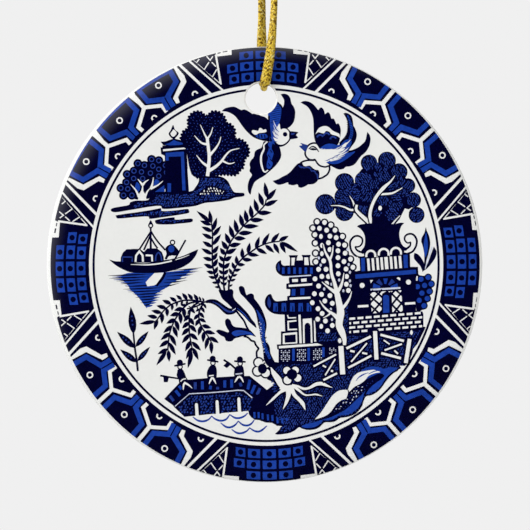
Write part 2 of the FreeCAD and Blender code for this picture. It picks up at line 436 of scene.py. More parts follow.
class Drawing:
    """Marks in the order in which they are laid. A later mark hides what it covers, and a mark of
    BARE lets the white coat show."""

    def __init__(self):
        self.marks = []
        self.motif = ""

    def fill(self, ink, outline):
        """One closed outline of an ink, kept anticlockwise."""
        outline = np.asarray(outline, float)
        area = signed_area(outline)
        if abs(area) > 1e-5:
            self.marks.append((self.motif, ink, outline if area > 0 else outline[::-1]))

    def blob(self, ink, *numbers):
        """A smooth closed outline through points given as numbers."""
        self.fill(ink, curve(at(*numbers), closed=True))

    def patch(self, ink, *numbers):
        """A straight-sided outline through points given as numbers."""
        self.fill(ink, at(*numbers))

    def line(self, ink, points, width, smooth=True, closed=False):
        """A line of one width, or of a width that changes evenly between a list of widths: the
        curve through the points, moved half a width to either side."""
        path = curve(points, closed) if smooth else np.asarray(points, float)
        if closed:
            path = np.vstack([path, path[:1]])
        along = np.gradient(path, axis=0)
        if closed:
            along[0] = along[-1] = path[1] - path[-2]
        along = unit_rows(along)
        side = np.column_stack([-along[:, 1], along[:, 0]])
        reach = reach_along(path)
        widths = np.atleast_1d(width) + (INK_SPREAD if ink == "navy" else 0.0)
        half = np.interp(reach / reach[-1], np.linspace(0, 1, len(widths)), widths)[:, None] / 2
        left, right = path + side * half, path - side * half
        for i in range(len(path) - 1):
            self.fill(ink, [left[i], left[i + 1], right[i + 1], right[i]])

    def bar(self, ink, points, width):
        """A straight-sided line with square ends and mitred bends, drawn as one outline."""
        path = np.asarray(points, float)
        step = unit_rows(np.diff(path, axis=0))
        normal = np.column_stack([-step[:, 1], step[:, 0]])
        mitre = unit_rows(np.vstack([normal[:1], normal[:-1] + normal[1:], normal[-1:]]))
        lean = np.einsum("ij,ij->i", mitre, np.vstack([normal[:1], normal]))
        offset = mitre * (width / 2 / np.maximum(lean, 0.4))[:, None]
        self.fill(ink, np.vstack([path + offset, (path - offset)[::-1]]))

    def branches(self, twigs, margin):
        """Bare tapering lines, given as (points, widths), with one navy margin round them all."""
        for points, widths in twigs:
            self.line("navy", points, np.array(widths) + 2 * margin)
        for points, widths in twigs:
            self.line(BARE, points, widths)

    def dot(self, ink, centre, radius, sides=None):
        """A round or oval spot."""
        self.fill(ink, arc(centre, radius, steps=sides))

    def ring(self, ink, centre, radius, width, core):
        """A ring of one ink round a core of another."""
        self.dot(ink, centre, radius + width / 2)
        self.dot(core, centre, radius - width / 2)

    def leaf(self, ink, base, tip, width):
        """A leaf of two bowed sides: half its width at t along it is width / 2 * sin(pi t ** 0.8)."""
        base, tip = np.array(base, float), np.array(tip, float)
        t = np.linspace(0, 1, LEAF_STEPS)[:, None]
        along = tip - base
        side = np.array([-along[1], along[0]]) / max(np.hypot(*along), 1e-9)
        middle = base + along * t
        half = side * width / 2 * np.sin(np.pi * t**0.8)
        self.fill(ink, np.vstack([middle + half, (middle - half)[-2:0:-1]]))

    def scallops(self, ink, outline, pitch, depth):
        """An outline whose edge is a row of small round teeth, pitch apart and depth high."""
        path = np.vstack([outline, outline[:1]])
        reach = reach_along(path)
        teeth = max(3, round(reach[-1] / pitch))
        steps = np.linspace(0, reach[-1], teeth * len(TOOTH) + 1)[:-1]
        p = np.column_stack([np.interp(steps, reach, path[:, i]) for i in (0, 1)])
        along = unit_rows(np.roll(p, -1, axis=0) - np.roll(p, 1, axis=0))
        out = np.column_stack([along[:, 1], -along[:, 0]]) * np.sign(signed_area(p))
        bump = np.tile(TOOTH, teeth)[:, None]
        self.fill(ink, p + out * bump * depth)

    def stipple(self, ink, outline, spacing, size, seed, sides, long=1.0, lean=0.0, sway=0.0):
        """Small spots of an ink on a triangular grid inside an outline, each shaken off its place
        by up to SHAKE spacings. long stretches each spot and lean turns it, and at
        (u, v) it turns by sway * sin(0.9 u) * cos(0.8 v) more."""
        outline = np.asarray(outline, float)
        low, high = outline.min(0), outline.max(0)
        rows = np.arange(low[1], high[1], spacing * ROW_HEIGHT)
        grid = [
            (x, y)
            for i, y in enumerate(rows)
            for x in np.arange(low[0] + spacing / 2 * (i % 2), high[0], spacing)
        ]
        if not grid:
            return
        random = np.random.default_rng(seed)
        grid = np.array(grid) + random.uniform(-SHAKE, SHAKE, (len(grid), 2)) * spacing
        sizes = size * random.uniform(*SPOT_SIZES, len(grid))
        held = inside(outline, grid)
        for centre, radius in zip(grid[held], sizes[held]):
            spot = arc((0, 0), (radius * long, radius), steps=sides)
            swing = sway * math.sin(0.9 * centre[0]) * math.cos(0.8 * centre[1])
            self.fill(ink, turned(spot, lean + swing, move=centre))

    def hatch(self, ink, outline, spacing, width, degrees):
        """Parallel lines inside an outline, at an angle."""
        outline = turned(outline, -degrees)
        x0, y0 = outline[:, 0], outline[:, 1]
        x1, y1 = np.roll(x0, -1), np.roll(y0, -1)
        for y in np.arange(y0.min() + spacing / 2, y0.max(), spacing):
            hit = (y0 > y) != (y1 > y)
            ends = np.sort(x0[hit] + (y - y0[hit]) * (x1[hit] - x0[hit]) / (y1[hit] - y0[hit]))
            low, high = y - width / 2, y + width / 2
            for start, end in zip(ends[::2], ends[1::2]):
                if end - start > width:
                    self.fill(ink, turned([(start, low), (end, low), (end, high), (start, high)], degrees))


def face_point(flat, lift):
    """The point over plate millimetres (u, v), lift above the face. Inside ROLL_START the face is
    flat. Outside it, with s = (r - ROLL_START) / ROLL_WIDTH, it falls back by
    ROLL_DEPTH * (1 - sqrt(1 - s * s)), and its normal is the ellipse's."""
    radius = np.maximum(np.linalg.norm(flat, axis=1), 1e-6)
    s = np.clip((radius - ROLL_START) / ROLL_WIDTH, 0, 1)
    depth = ROLL_DEPTH * (1 - np.sqrt(1 - s**2))
    outward = s / ROLL_WIDTH
    forward = np.sqrt(1 - s**2) / ROLL_DEPTH
    size = np.hypot(outward, forward)
    outward, forward = outward / size, forward / size
    radial = flat / radius[:, None]
    normal = np.column_stack([radial[:, 0] * outward, -forward, radial[:, 1] * outward])
    place = np.column_stack([CENTRE_X + flat[:, 0], FRONT + depth, CENTRE_Z + flat[:, 1]])
    return (place + normal * lift) * MM, normal


def guide_circles(edge):
    """Circles that cut the marks where the face rolls over, so that their films follow it, with
    the print's outer edge and the edge of the hole."""
    reach = np.linalg.norm(edge, axis=1).max()
    last = math.asin(min(1.0, max(0.0, reach - ROLL_START) / ROLL_WIDTH))
    circles = [edge, arc(HOLE, HOLE_EDGE, steps=48)]
    if last:
        for angle in np.linspace(0, last, ROLL_RINGS + 1)[:-1]:
            circles.append(arc((0, 0), ROLL_START + ROLL_WIDTH * math.sin(angle), steps=360))
    return circles


def cut_films(drawing, edge):
    """Cuts all the marks against each other and keeps, in each triangle, the ink of the topmost
    mark there. Nothing outside the edge or inside the hole is kept. Returns the corner points
    and {(motif, ink): triangles}."""
    points, edges, faces = [], [], []

    def add(outline):
        """The numbers of an outline's points, once they are added."""
        start = len(points)
        points.extend(Vector(p) for p in outline)
        return list(range(start, len(points)))

    for _, _, outline in drawing.marks:
        faces.append(add(outline))
    for circle in guide_circles(edge):
        ring = add(circle)
        edges.extend(zip(ring, ring[1:] + ring[:1]))
    corners, _, triangles, _, _, owners = delaunay_2d_cdt(points, edges, faces, 1, 1e-5, True)
    corners = np.array([tuple(p) for p in corners])
    triangles = np.array(triangles)
    middles = corners[triangles].mean(axis=1)
    kept = inside(edge, middles) & (np.linalg.norm(middles - HOLE, axis=1) > HOLE_EDGE)
    films = {}
    for triangle, owner in zip(triangles[kept], (o for o, keep in zip(owners, kept) if keep)):
        motif, ink = drawing.marks[max(owner)][:2] if owner else ("", BARE)
        if ink != BARE:
            films.setdefault((motif, ink), []).append(triangle)
    return corners, films


def film_piece(name, corners, triangles, material, settings):
    """A closed film of ink: the triangles lifted a little above the face, the same triangles a
    little inside it, and walls between their free edges. Its top has the face's own normals."""
    triangles = np.array(triangles)
    used, flat_index = np.unique(triangles, return_inverse=True)
    top = flat_index.reshape(triangles.shape)
    flat = corners[used]
    a, b, c = (flat[top[:, i]] for i in range(3))
    turn = (b - a)[:, 0] * (c - a)[:, 1] - (b - a)[:, 1] * (c - a)[:, 0]
    top[turn < 0] = top[turn < 0][:, ::-1]
    top = top[np.abs(turn) > 1e-9]
    sides = np.vstack([top[:, [0, 1]], top[:, [1, 2]], top[:, [2, 0]]])
    count = len(flat)
    keys = sides[:, 0].astype(np.int64) * count + sides[:, 1]
    backward = sides[:, 1].astype(np.int64) * count + sides[:, 0]
    free = sides[~np.isin(keys, backward)]
    wall = np.column_stack([free[:, 1], free[:, 0], free[:, 0] + count, free[:, 1] + count])
    proud, normal = face_point(flat, settings.film_proud / MM)
    sunk, _ = face_point(flat, -settings.film_depth / MM)
    below = top[:, ::-1] + count
    faces = [tuple(face) for group in (top, below, wall) for face in group]
    piece = mesh_piece(name, np.vstack([proud, sunk]), faces, material)
    mesh = piece.data
    shown = np.zeros((len(mesh.loops), 3))
    shown[: top.size] = normal[top.ravel()]
    face_normals = np.zeros(len(mesh.polygons) * 3, np.float32)
    mesh.polygons.foreach_get("normal", face_normals)
    face_normals = face_normals.reshape(-1, 3)
    shown[top.size: 2 * top.size] = np.repeat(face_normals[len(top): 2 * len(top)], 3, axis=0)
    shown[2 * top.size:] = np.repeat(face_normals[2 * len(top):], 4, axis=0)
    mesh.normals_split_custom_set(shown)
    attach(piece, ORNAMENT)
    return piece


def ink_material(ink, settings):
    """The material of one ink, made once."""
    name = f"Ink {ink}"
    made = bpy.data.materials.get(name)
    return made or glossy_coat_material(name, getattr(settings, ink), contrast=0.16, roughness=0.12)


def print_drawing(drawing, settings, edge):
    """Cuts a drawing inside an edge and makes one piece for each motif and ink in it."""
    corners, films = cut_films(drawing, edge)
    for (motif, ink), triangles in films.items():
        film_piece(f"{motif}_{ink}", corners, triangles, ink_material(ink, settings), settings)


# The border: four panels of cells, four groups of cut hexagons, and lattice between them

BORDER_TURN = 1.0             # the whole border sits a little turned and stretched on the disc
BORDER_STRETCH = (0.9925, 1.012)
BORDER_SHIFT = (0.27, -0.1)
HEXAGON_AXIS = 45.0


def polar_cell(inner, outer, start, end):
    """A cell between two radii about the disc's centre and two distances across, at the top."""
    across = np.linspace(start, end, 4)
    low = np.column_stack([across, np.sqrt(inner**2 - across**2)])
    high = np.column_stack([across, np.sqrt(outer**2 - across**2)])
    return np.vstack([low, high[::-1]])


def panel_cells():
    """Half of a panel's cobalt cells, as (inner radius, outer radius, near side, far side)."""
    rows = ((30.5, 31.95, (1.1, 1.55, 3.6, 4.05, 5.65)),
            (32.35, 33.75, (1.15, 1.6, 3.8, 4.22, 6.0)),
            (34.2, 35.5, (1.17, 1.6, 3.9)))
    for inner, outer, sides in rows:
        yield inner, outer, 0.0, sides[0]
        for near, far in zip(sides[1::2], sides[2::2]):
            yield inner, outer, near, far


def border_eighth(draw, place):
    """One eighth of the border, from the middle of a panel to the middle of a hexagon group. Every
    outline goes through place, which mirrors it and turns it to its own part of the border."""

    def fill(ink, outline):
        """A placed outline."""
        draw.fill(ink, place(outline))

    def bar(ink, points, width):
        """A placed straight-sided line."""
        draw.bar(ink, place(points), width)

    for inner, outer, near, far in panel_cells():
        fill("cobalt", polar_cell(inner, outer, near, far))
        if near:
            middle = (near + far) / 2
            radius = (inner + outer) / 2
            fill("navy", arc((middle, math.sqrt(radius**2 - middle**2)), 0.46, steps=16))
        else:
            fill("navy", arc((0.0, (inner + outer) / 2), 0.46, -90, 90, 10))
    # the panel's side, its step at the rim, and the dashes past it
    fill(BARE, [(5.2, 35.05), (7.7, 34.85), (8.1, 35.6), (7.9, 36.8), (5.2, 36.8)])
    bar(BARE, [(7.12, 30.0), (7.88, 35.0)], 0.34)
    fill(BARE, [(5.2, 34.9), (7.7, 34.65), (7.75, 34.95), (5.2, 35.3)])
    bar("navy", [(5.95, 35.55), (6.7, 35.42)], 0.24)
    bar("navy", [(7.05, 35.3), (7.6, 35.18)], 0.17)
    # the lattice
    for points in ([(7.35, 30.25), (8.3, 31.1)], [(7.75, 32.55), (8.55, 31.25), (9.7, 32.2)],
                   [(7.9, 33.0), (8.6, 33.75)], [(9.05, 33.75), (9.9, 32.5), (11.0, 33.45)],
                   [(8.4, 34.7), (8.85, 34.05), (9.45, 34.75)], [(10.7, 34.3), (11.2, 33.65), (11.8, 34.15)]):
        bar(BARE, points, 0.2)
    # the diagonal band between two white lines
    bar("navy", [(6.5, 29.2), (12.45, 34.6)], 0.3)
    bar(BARE, [(6.7, 28.95), (13.0, 34.55)], 0.32)
    bar(BARE, [(8.6, 28.2), (14.75, 34.1)], 0.46)
    # the hexagons' white bounds
    fill(BARE, [(14.8, 33.4), (13.25, 31.6), (12.9, 30.55), (14.38, 28.05), (14.08, 27.15), (14.66, 26.95),
                (15.22, 27.85), (13.85, 30.6), (15.05, 32.95)])
    bar(BARE, [(16.35, 25.6), (17.12, 26.68), (20.25, 26.42)], 0.62)
    bar(BARE, [(22.9, 29.55), (20.15, 26.4)], 0.7)
    bar(BARE, [(20.05, 26.55), (21.15, 23.2), (20.4, 22.55)], 0.64)
    # the hexagons' cobalt bands
    bar("cobalt", [(16.2, 33.4), (14.65, 30.6), (16.14, 28.1), (15.17, 26.5)], 0.86)
    bar("cobalt", [(16.0, 25.95), (16.95, 27.72), (19.5, 27.45), (21.45, 29.85)], 0.84)
    bar("cobalt", [(23.45, 28.2), (21.42, 25.95), (22.42, 23.2), (21.35, 21.9)], 0.86)
    bar("navy", [(15.55, 26.1), (16.62, 28.0)], 0.2)
    bar("navy", [(21.2, 21.2), (22.9, 22.9)], 0.2)


def crescent(draw, centre, facing):
    """A short bare arc round a dot's place, open towards the middle of the plate."""
    draw.line(BARE, arc(centre, 0.42, facing - 105, facing + 105, 9), 0.27, smooth=False)


def border_drawing():
    """The whole border: eight eighths, every other one mirrored, on a navy ground."""
    draw = Drawing()
    draw.motif = "border"
    draw.fill("navy", arc((0, 0), RIM + 0.4, steps=180))
    radii = (BORDER_START * BORDER_STRETCH[0], BORDER_START * BORDER_STRETCH[1])
    draw.fill(BARE, arc(BORDER_SHIFT, radii, steps=240))
    for quarter in range(4):
        for mirror in (1, -1):
            def place(points, turn=BORDER_TURN - 90 * quarter, mirror=mirror):
                """An outline of the first eighth, moved to its own eighth and kept anticlockwise."""
                points = np.asarray(points, float) * (mirror, 1)
                made = turned(points, turn) * BORDER_STRETCH + BORDER_SHIFT
                return made[::mirror]

            border_eighth(draw, place)
            facing = BORDER_TURN - 90 * quarter + 90 - mirror * HEXAGON_AXIS
            for side, height, turn in ((11.5, 28.5, 22.6), (18.42, 24.65, 8.5)):
                crescent(draw, place([(side, height)])[0], facing + mirror * turn)
            ring_at = place([(17.65, 30.05)])[0]
            draw.ring(BARE, ring_at, 0.46, 0.24, "navy")
        middle = place([(-24.35, 24.3)])[0]
        draw.ring(BARE, middle, 0.46, 0.24, "navy")
    line = arc(BORDER_SHIFT, (RING_LINE * BORDER_STRETCH[0], RING_LINE * BORDER_STRETCH[1]), steps=240)
    draw.line("navy", line, 0.29, smooth=False, closed=True)
    for start, end in ((116.6, 126.3), (129.9, 140.6), (144.1, 154.6)):
        draw.line("cobalt", arc((0, 0), 36.05, start, end), 0.62, smooth=False)
    for degrees in (128.1, 142.35):
        outer, across = turned([(36.9, 0.0), (0.0, 0.8)], degrees)
        draw.fill(BARE, [outer + across, outer - across, outer * 0.915])
    return draw


# The picture


def draw_left_swallow(draw):
    """The swallow that turns back, with both wings up and a forked tail."""
    draw.motif = "swallow_left"
    draw.blob("navy", -0.1, 20.6, -0.5, 19.6, -1.1, 19.3, -1.6, 18.9, -1.8, 18.0, -2.3, 17.4, -2.5, 16.8,
        -2.4, 16.2, -2.5, 15.6, -2.1, 15.0, -2.5, 14.3, -2.8, 13.3, -2.75, 12.3, -2.35, 11.7, -2.15, 12.6,
        -1.7, 13.7, -1.0, 14.3, 0.0, 14.9, 0.6, 15.7, 0.2, 18.0, 0.6, 20.2)
    draw.blob("navy", 0.1, 19.9, 0.6, 20.5, 1.3, 20.4, 1.9, 20.1, 2.5, 19.7, 2.7, 19.0, 2.8, 18.3,
        2.6, 17.6, 2.0, 16.7, 1.2, 15.9, 0.5, 15.3, 0.0, 15.0, -0.05, 16.5, -0.3, 18.1, 0.15, 18.9)
    draw.blob("cobalt", 0.6, 20.3, 1.3, 20.4, 1.2, 19.5, 1.5, 18.6, 1.2, 17.4, 1.4, 16.9, 1.0, 16.1,
        0.4, 16.2, 0.4, 17.0, 0.6, 17.9, 0.4, 18.5, 0.7, 19.3)
    for u, v in ((0.55, 19.9), (0.95, 19.2), (0.6, 18.4), (0.95, 17.7), (0.6, 17.0)):
        draw.line("navy", at(u, v, u + 0.35, v - 0.5), [0.06, 0.2, 0.04])
    draw.line(BARE, at(0.5, 20.6, -0.1, 20.0, -0.1, 19.3, -0.5, 18.4, -0.6, 17.4, -0.4, 16.3, 0.0, 15.5,
        0.6, 15.8), [0.2, 0.32, 0.36, 0.2])
    draw.fill("navy", shape(
        at(-7.15, 25.65, -6.7, 26.1, -5.9, 26.35, -5.0, 26.4, -4.3, 26.05, -3.85, 25.85),
        at(-3.3, 25.95, -2.6, 25.6, -2.0, 25.2),
        at(-1.5, 25.3, -0.6, 24.9, 0.2, 24.6, 0.8, 23.8, 0.9, 22.0),
        at(0.9, 20.6, 0.3, 20.65, -0.3, 20.75, -1.2, 21.0, -2.0, 21.4, -2.7, 22.0, -3.5, 22.9, -4.2, 23.9,
        -4.9, 24.8, -5.6, 25.3, -6.4, 25.6, -7.15, 25.65)))
    draw.blob(BARE, -2.1, 22.1, -2.0, 22.5, -1.5, 22.45, -1.05, 22.4, -0.85, 22.85, -0.5, 22.8, -0.2, 22.55,
        0.2, 22.65, 0.35, 22.3, 0.0, 22.1, -0.9, 22.0, -1.5, 21.7)
    draw.blob("cobalt", -1.5, 21.6, -0.9, 21.8, -0.3, 21.9, 0.3, 21.8, 0.5, 21.3, -0.3, 21.05, -1.1, 21.2)
    for u in (-1.0, -0.5, 0.0):
        draw.line("navy", at(u, 21.75, u + 0.1, 21.2), 0.1)
    draw.blob("cobalt", 0.6, 25.3, 1.1, 25.7, 1.6, 26.4, 2.0, 27.2, 2.4, 27.1, 2.8, 26.6, 3.0, 26.0,
        2.9, 24.8, 2.5, 23.3, 2.3, 21.6, 2.3, 19.9, 1.5, 20.2, 0.9, 20.6, 0.8, 22.0, 0.7, 24.0)
    draw.hatch("navy", at(1.0, 25.2, 1.8, 26.6, 2.6, 26.6, 2.8, 25.4, 2.4, 24.0, 1.0, 23.6), 0.34, 0.09, 12)
    draw.hatch("violet", at(1.0, 23.6, 2.0, 24.0, 1.6, 22.4, 1.1, 21.0, 0.95, 22.0), 0.3, 0.1, 10)
    draw.line("navy", at(0.75, 24.9, 0.8, 23.0, 1.1, 20.6), 0.22)
    draw.line("navy", at(2.2, 27.1, 2.9, 26.3, 2.9, 25.0, 2.5, 23.3), 0.2)
    draw.fill("navy", shape(
        at(2.7, 28.5, 3.3, 28.6, 3.9, 28.4, 4.3, 27.9, 4.45, 27.2),
        at(4.6, 26.8, 4.9, 26.4, 5.15, 25.6, 5.1, 24.6),
        at(4.85, 23.8, 4.4, 23.2, 4.0, 22.9, 3.2, 22.2, 2.5, 22.1),
        at(2.45, 22.9, 2.6, 23.6, 2.9, 24.3, 2.75, 25.0, 3.0, 26.1, 3.25, 26.8, 3.25, 27.6, 2.7, 28.5)))
    draw.blob("navy", 2.45, 23.0, 3.2, 23.0, 3.9, 22.75, 4.4, 22.1, 4.45, 21.3, 4.15, 20.6, 3.5, 20.0,
        2.7, 19.7, 1.9, 19.85, 1.6, 20.6, 2.0, 21.6)
    draw.blob(BARE, 2.5, 23.6, 2.7, 22.65, 3.1, 22.75, 3.6, 22.7, 4.05, 22.3, 4.2, 21.6, 4.05, 20.9,
        3.5, 20.3, 2.8, 20.05, 2.2, 20.2, 1.7, 20.8, 1.4, 21.5, 1.35, 22.2, 1.7, 22.5, 2.1, 23.0)
    for low, high, bow in ((-0.1, 0.3, 0.0), (0.55, 1.0, 0.1), (1.25, 1.65, 0.2), (1.95, 2.4, 0.3)):
        draw.line("cobalt", at(1.15 + bow, 21.5 + low * 1.05, 1.5 + bow, 20.85 + low, 2.15 + bow,
            20.25 + high * 0.8), [0.34, 0.24, 0.05])
    for lift in (0.0, 0.75, 1.5):
        draw.line("pale", at(1.5, 22.6 + lift, 1.75, 21.9 + lift, 2.25, 21.1 + lift), [0.05, 0.16, 0.05])
    draw.dot("navy", (3.45, 21.8), 0.38)
    draw.blob("navy", 4.2, 22.2, 5.0, 22.25, 5.65, 22.1, 5.3, 21.7, 5.6, 21.25, 5.0, 21.05, 4.2, 21.05)
    draw.blob("violet", 4.5, 21.95, 5.1, 22.0, 4.9, 21.75, 4.5, 21.7)


def draw_right_swallow(draw):
    """The swallow that comes down from the right, with its wings open."""
    draw.motif = "swallow_right"
    draw.fill("navy", shape(
        at(6.05, 27.1, 6.5, 27.35, 7.1, 27.35, 7.7, 27.15, 8.3, 26.7, 9.0, 25.85),
        at(9.4, 26.3, 9.85, 26.0, 10.15, 25.15),
        at(10.6, 25.5, 10.95, 25.2, 11.2, 24.4),
        at(11.6, 24.4, 11.9, 23.8, 12.0, 23.5),
        at(12.4, 23.6, 12.75, 22.7, 12.7, 21.6, 12.5, 20.6, 12.0, 19.8, 10.6, 19.2, 9.3, 19.3),
        at(8.7, 20.2, 8.4, 20.9, 8.25, 21.8, 8.2, 23.8, 8.05, 24.8, 7.7, 25.7, 7.2, 26.4, 6.5, 26.85,
        6.05, 27.1)))
    draw.blob(BARE, 8.55, 21.8, 8.8, 22.4, 9.2, 22.9, 9.8, 23.15, 10.4, 23.15, 10.9, 22.9, 11.3, 22.5,
        11.9, 22.15, 12.5, 21.9, 12.6, 21.2, 12.2, 21.5, 11.2, 21.8, 10.9, 22.2, 10.3, 22.35, 9.9, 21.95,
        9.0, 22.15)
    for u, v in ((9.3, 21.2), (10.4, 21.5), (11.5, 20.9)):
        draw.line("violet", arc((u, v), 0.5, 170, 20), 0.28)
    draw.blob("cobalt", 9.4, 19.3, 9.7, 19.8, 10.5, 20.2, 11.3, 20.2, 12.3, 20.0, 13.2, 20.4, 12.9, 19.4,
        11.5, 19.2)
    draw.fill("navy", shape(
        at(13.2, 25.3, 13.7, 25.4, 14.3, 25.1, 14.7, 24.5, 14.9, 23.2),
        at(15.2, 22.7, 15.45, 21.8, 15.3, 20.9, 15.0, 20.3),
        at(14.6, 19.8, 14.0, 19.1, 12.9, 19.2, 12.5, 20.4),
        at(12.9, 20.8, 13.5, 21.5, 13.8, 22.2, 13.9, 23.2, 13.8, 24.2, 13.2, 25.3)))
    draw.line("cobalt", at(13.9, 25.0, 14.4, 23.6, 14.6, 22.0, 14.0, 20.4, 13.2, 19.6),
        [0.15, 0.42, 0.5, 0.5, 0.3])
    draw.hatch("navy", at(13.7, 24.8, 14.4, 24.4, 14.9, 22.0, 14.3, 20.2, 13.4, 19.6, 13.9, 21.4),
        0.32, 0.1, 150)
    draw.fill("navy", shape(
        at(17.2, 22.2, 17.6, 21.7, 17.75, 21.0, 17.6, 20.0, 17.2, 19.2, 16.7, 18.6, 16.2, 18.2),
        at(15.8, 17.7, 15.3, 17.0, 14.8, 16.6, 14.2, 16.4),
        at(13.6, 16.35, 13.2, 16.0, 12.5, 15.9, 11.9, 16.1, 11.0, 16.6, 10.3, 17.1),
        at(11.2, 17.6, 12.0, 17.7, 12.6, 18.3, 12.2, 19.1, 13.0, 19.4, 14.2, 19.1, 15.0, 19.3, 15.8, 19.7,
        16.4, 20.2, 16.9, 20.8, 17.2, 22.2)))
    draw.blob("cobalt", 10.3, 17.1, 11.5, 17.5, 12.6, 17.9, 13.4, 18.6, 14.2, 18.7, 15.2, 18.9, 14.2, 18.0,
        13.0, 17.2, 11.8, 16.8)
    draw.blob("cobalt", 11.6, 17.5, 12.8, 17.7, 13.9, 18.9, 14.6, 20.6, 13.7, 20.9, 12.9, 20.2, 12.2, 19.0)
    draw.blob(BARE, 9.3, 19.35, 10.6, 19.3, 11.7, 19.4, 12.7, 19.75, 13.75, 20.45, 13.5, 19.5, 12.7, 18.5,
        11.9, 17.95, 11.0, 17.4, 10.0, 17.1, 9.4, 18.0)
    for u, v, across, rise in ((12.3, 18.9, 1.5, 1.5), (12.6, 18.5, 1.6, 1.2), (12.2, 18.1, 1.9, 0.9),
            (11.6, 17.7, 1.9, 0.6), (11.0, 17.4, 1.9, 0.4), (13.0, 19.7, 1.5, 1.3)):
        draw.line(BARE, at(u, v, u + across / 2, v + rise * 0.4, u + across, v + rise), [0.3, 0.2, 0.02])
    for u, v in ((10.1, 17.35), (10.9, 17.7), (11.7, 18.15), (12.4, 18.75), (12.9, 19.45)):
        draw.line("cobalt", at(u, v, u + 0.5, v + 0.12, u + 1.0, v + 0.42), [0.03, 0.15, 0.05])
    for along in (0.0, 0.6, 1.2, 1.8, 2.4):
        draw.line("cobalt", at(9.5 + along, 19.3, 10.0 + along, 19.4, 10.6 + along, 19.8), [0.03, 0.16, 0.1])
    draw.line("navy", at(8.8, 20.25, 8.3, 20.35, 7.7, 20.2, 7.3, 19.9, 7.0, 19.4, 6.8, 18.7, 6.9, 18.2,
        7.2, 17.8, 7.6, 17.55, 8.1, 17.5, 8.45, 17.55, 8.8, 17.0, 9.2, 16.6, 9.7, 16.4, 10.3, 16.35,
        11.2, 16.7), 0.2)
    draw.blob("violet", 6.0, 20.35, 6.7, 20.15, 7.2, 19.9, 6.9, 18.9, 6.3, 19.3, 5.8, 19.85, 6.3, 19.95)
    draw.line("navy", at(7.4, 19.35, 8.0, 19.75, 8.6, 19.5, 9.1, 18.85), [0.06, 0.16, 0.06])
    draw.line("navy", at(7.6, 19.3, 8.2, 19.3, 8.7, 19.2), [0.06, 0.34, 0.06])
    draw.line("navy", at(6.0, 17.0, 6.6, 17.3, 7.3, 17.45, 8.4, 17.45), 0.2)
    draw.line("navy", at(10.85, 16.5, 10.9, 15.9, 10.6, 15.2, 10.2, 14.85, 9.6, 14.5, 9.0, 14.35), 0.22)
    draw.fill("navy", shape(
        at(1.35, 14.0, 2.2, 14.25, 3.0, 14.7, 3.8, 15.1, 4.4, 15.6, 5.0, 16.3, 5.6, 16.9, 6.3, 17.1),
        at(6.5, 16.6, 6.9, 16.45, 7.6, 16.55, 8.1, 16.1),
        at(8.6, 15.85, 9.0, 15.8, 9.2, 15.2, 9.1, 14.4),
        at(8.7, 13.8, 8.1, 13.45, 7.3, 13.4),
        at(6.9, 13.15, 6.2, 12.85, 5.7, 12.95),
        at(5.5, 13.4, 4.8, 13.25, 4.0, 13.4),
        at(3.9, 13.75, 3.2, 13.5, 2.4, 13.35, 1.8, 13.6, 1.35, 14.0)))
    for bow in (at(5.7, 16.6, 6.1, 16.3, 6.6, 16.3), at(6.5, 16.1, 7.0, 16.3, 7.6, 16.15, 7.8, 15.7),
            at(7.8, 15.6, 8.2, 15.7, 8.6, 15.4), at(8.45, 15.3, 8.85, 15.0, 8.9, 14.3)):
        draw.line("violet", bow, [0.12, 0.32, 0.16])


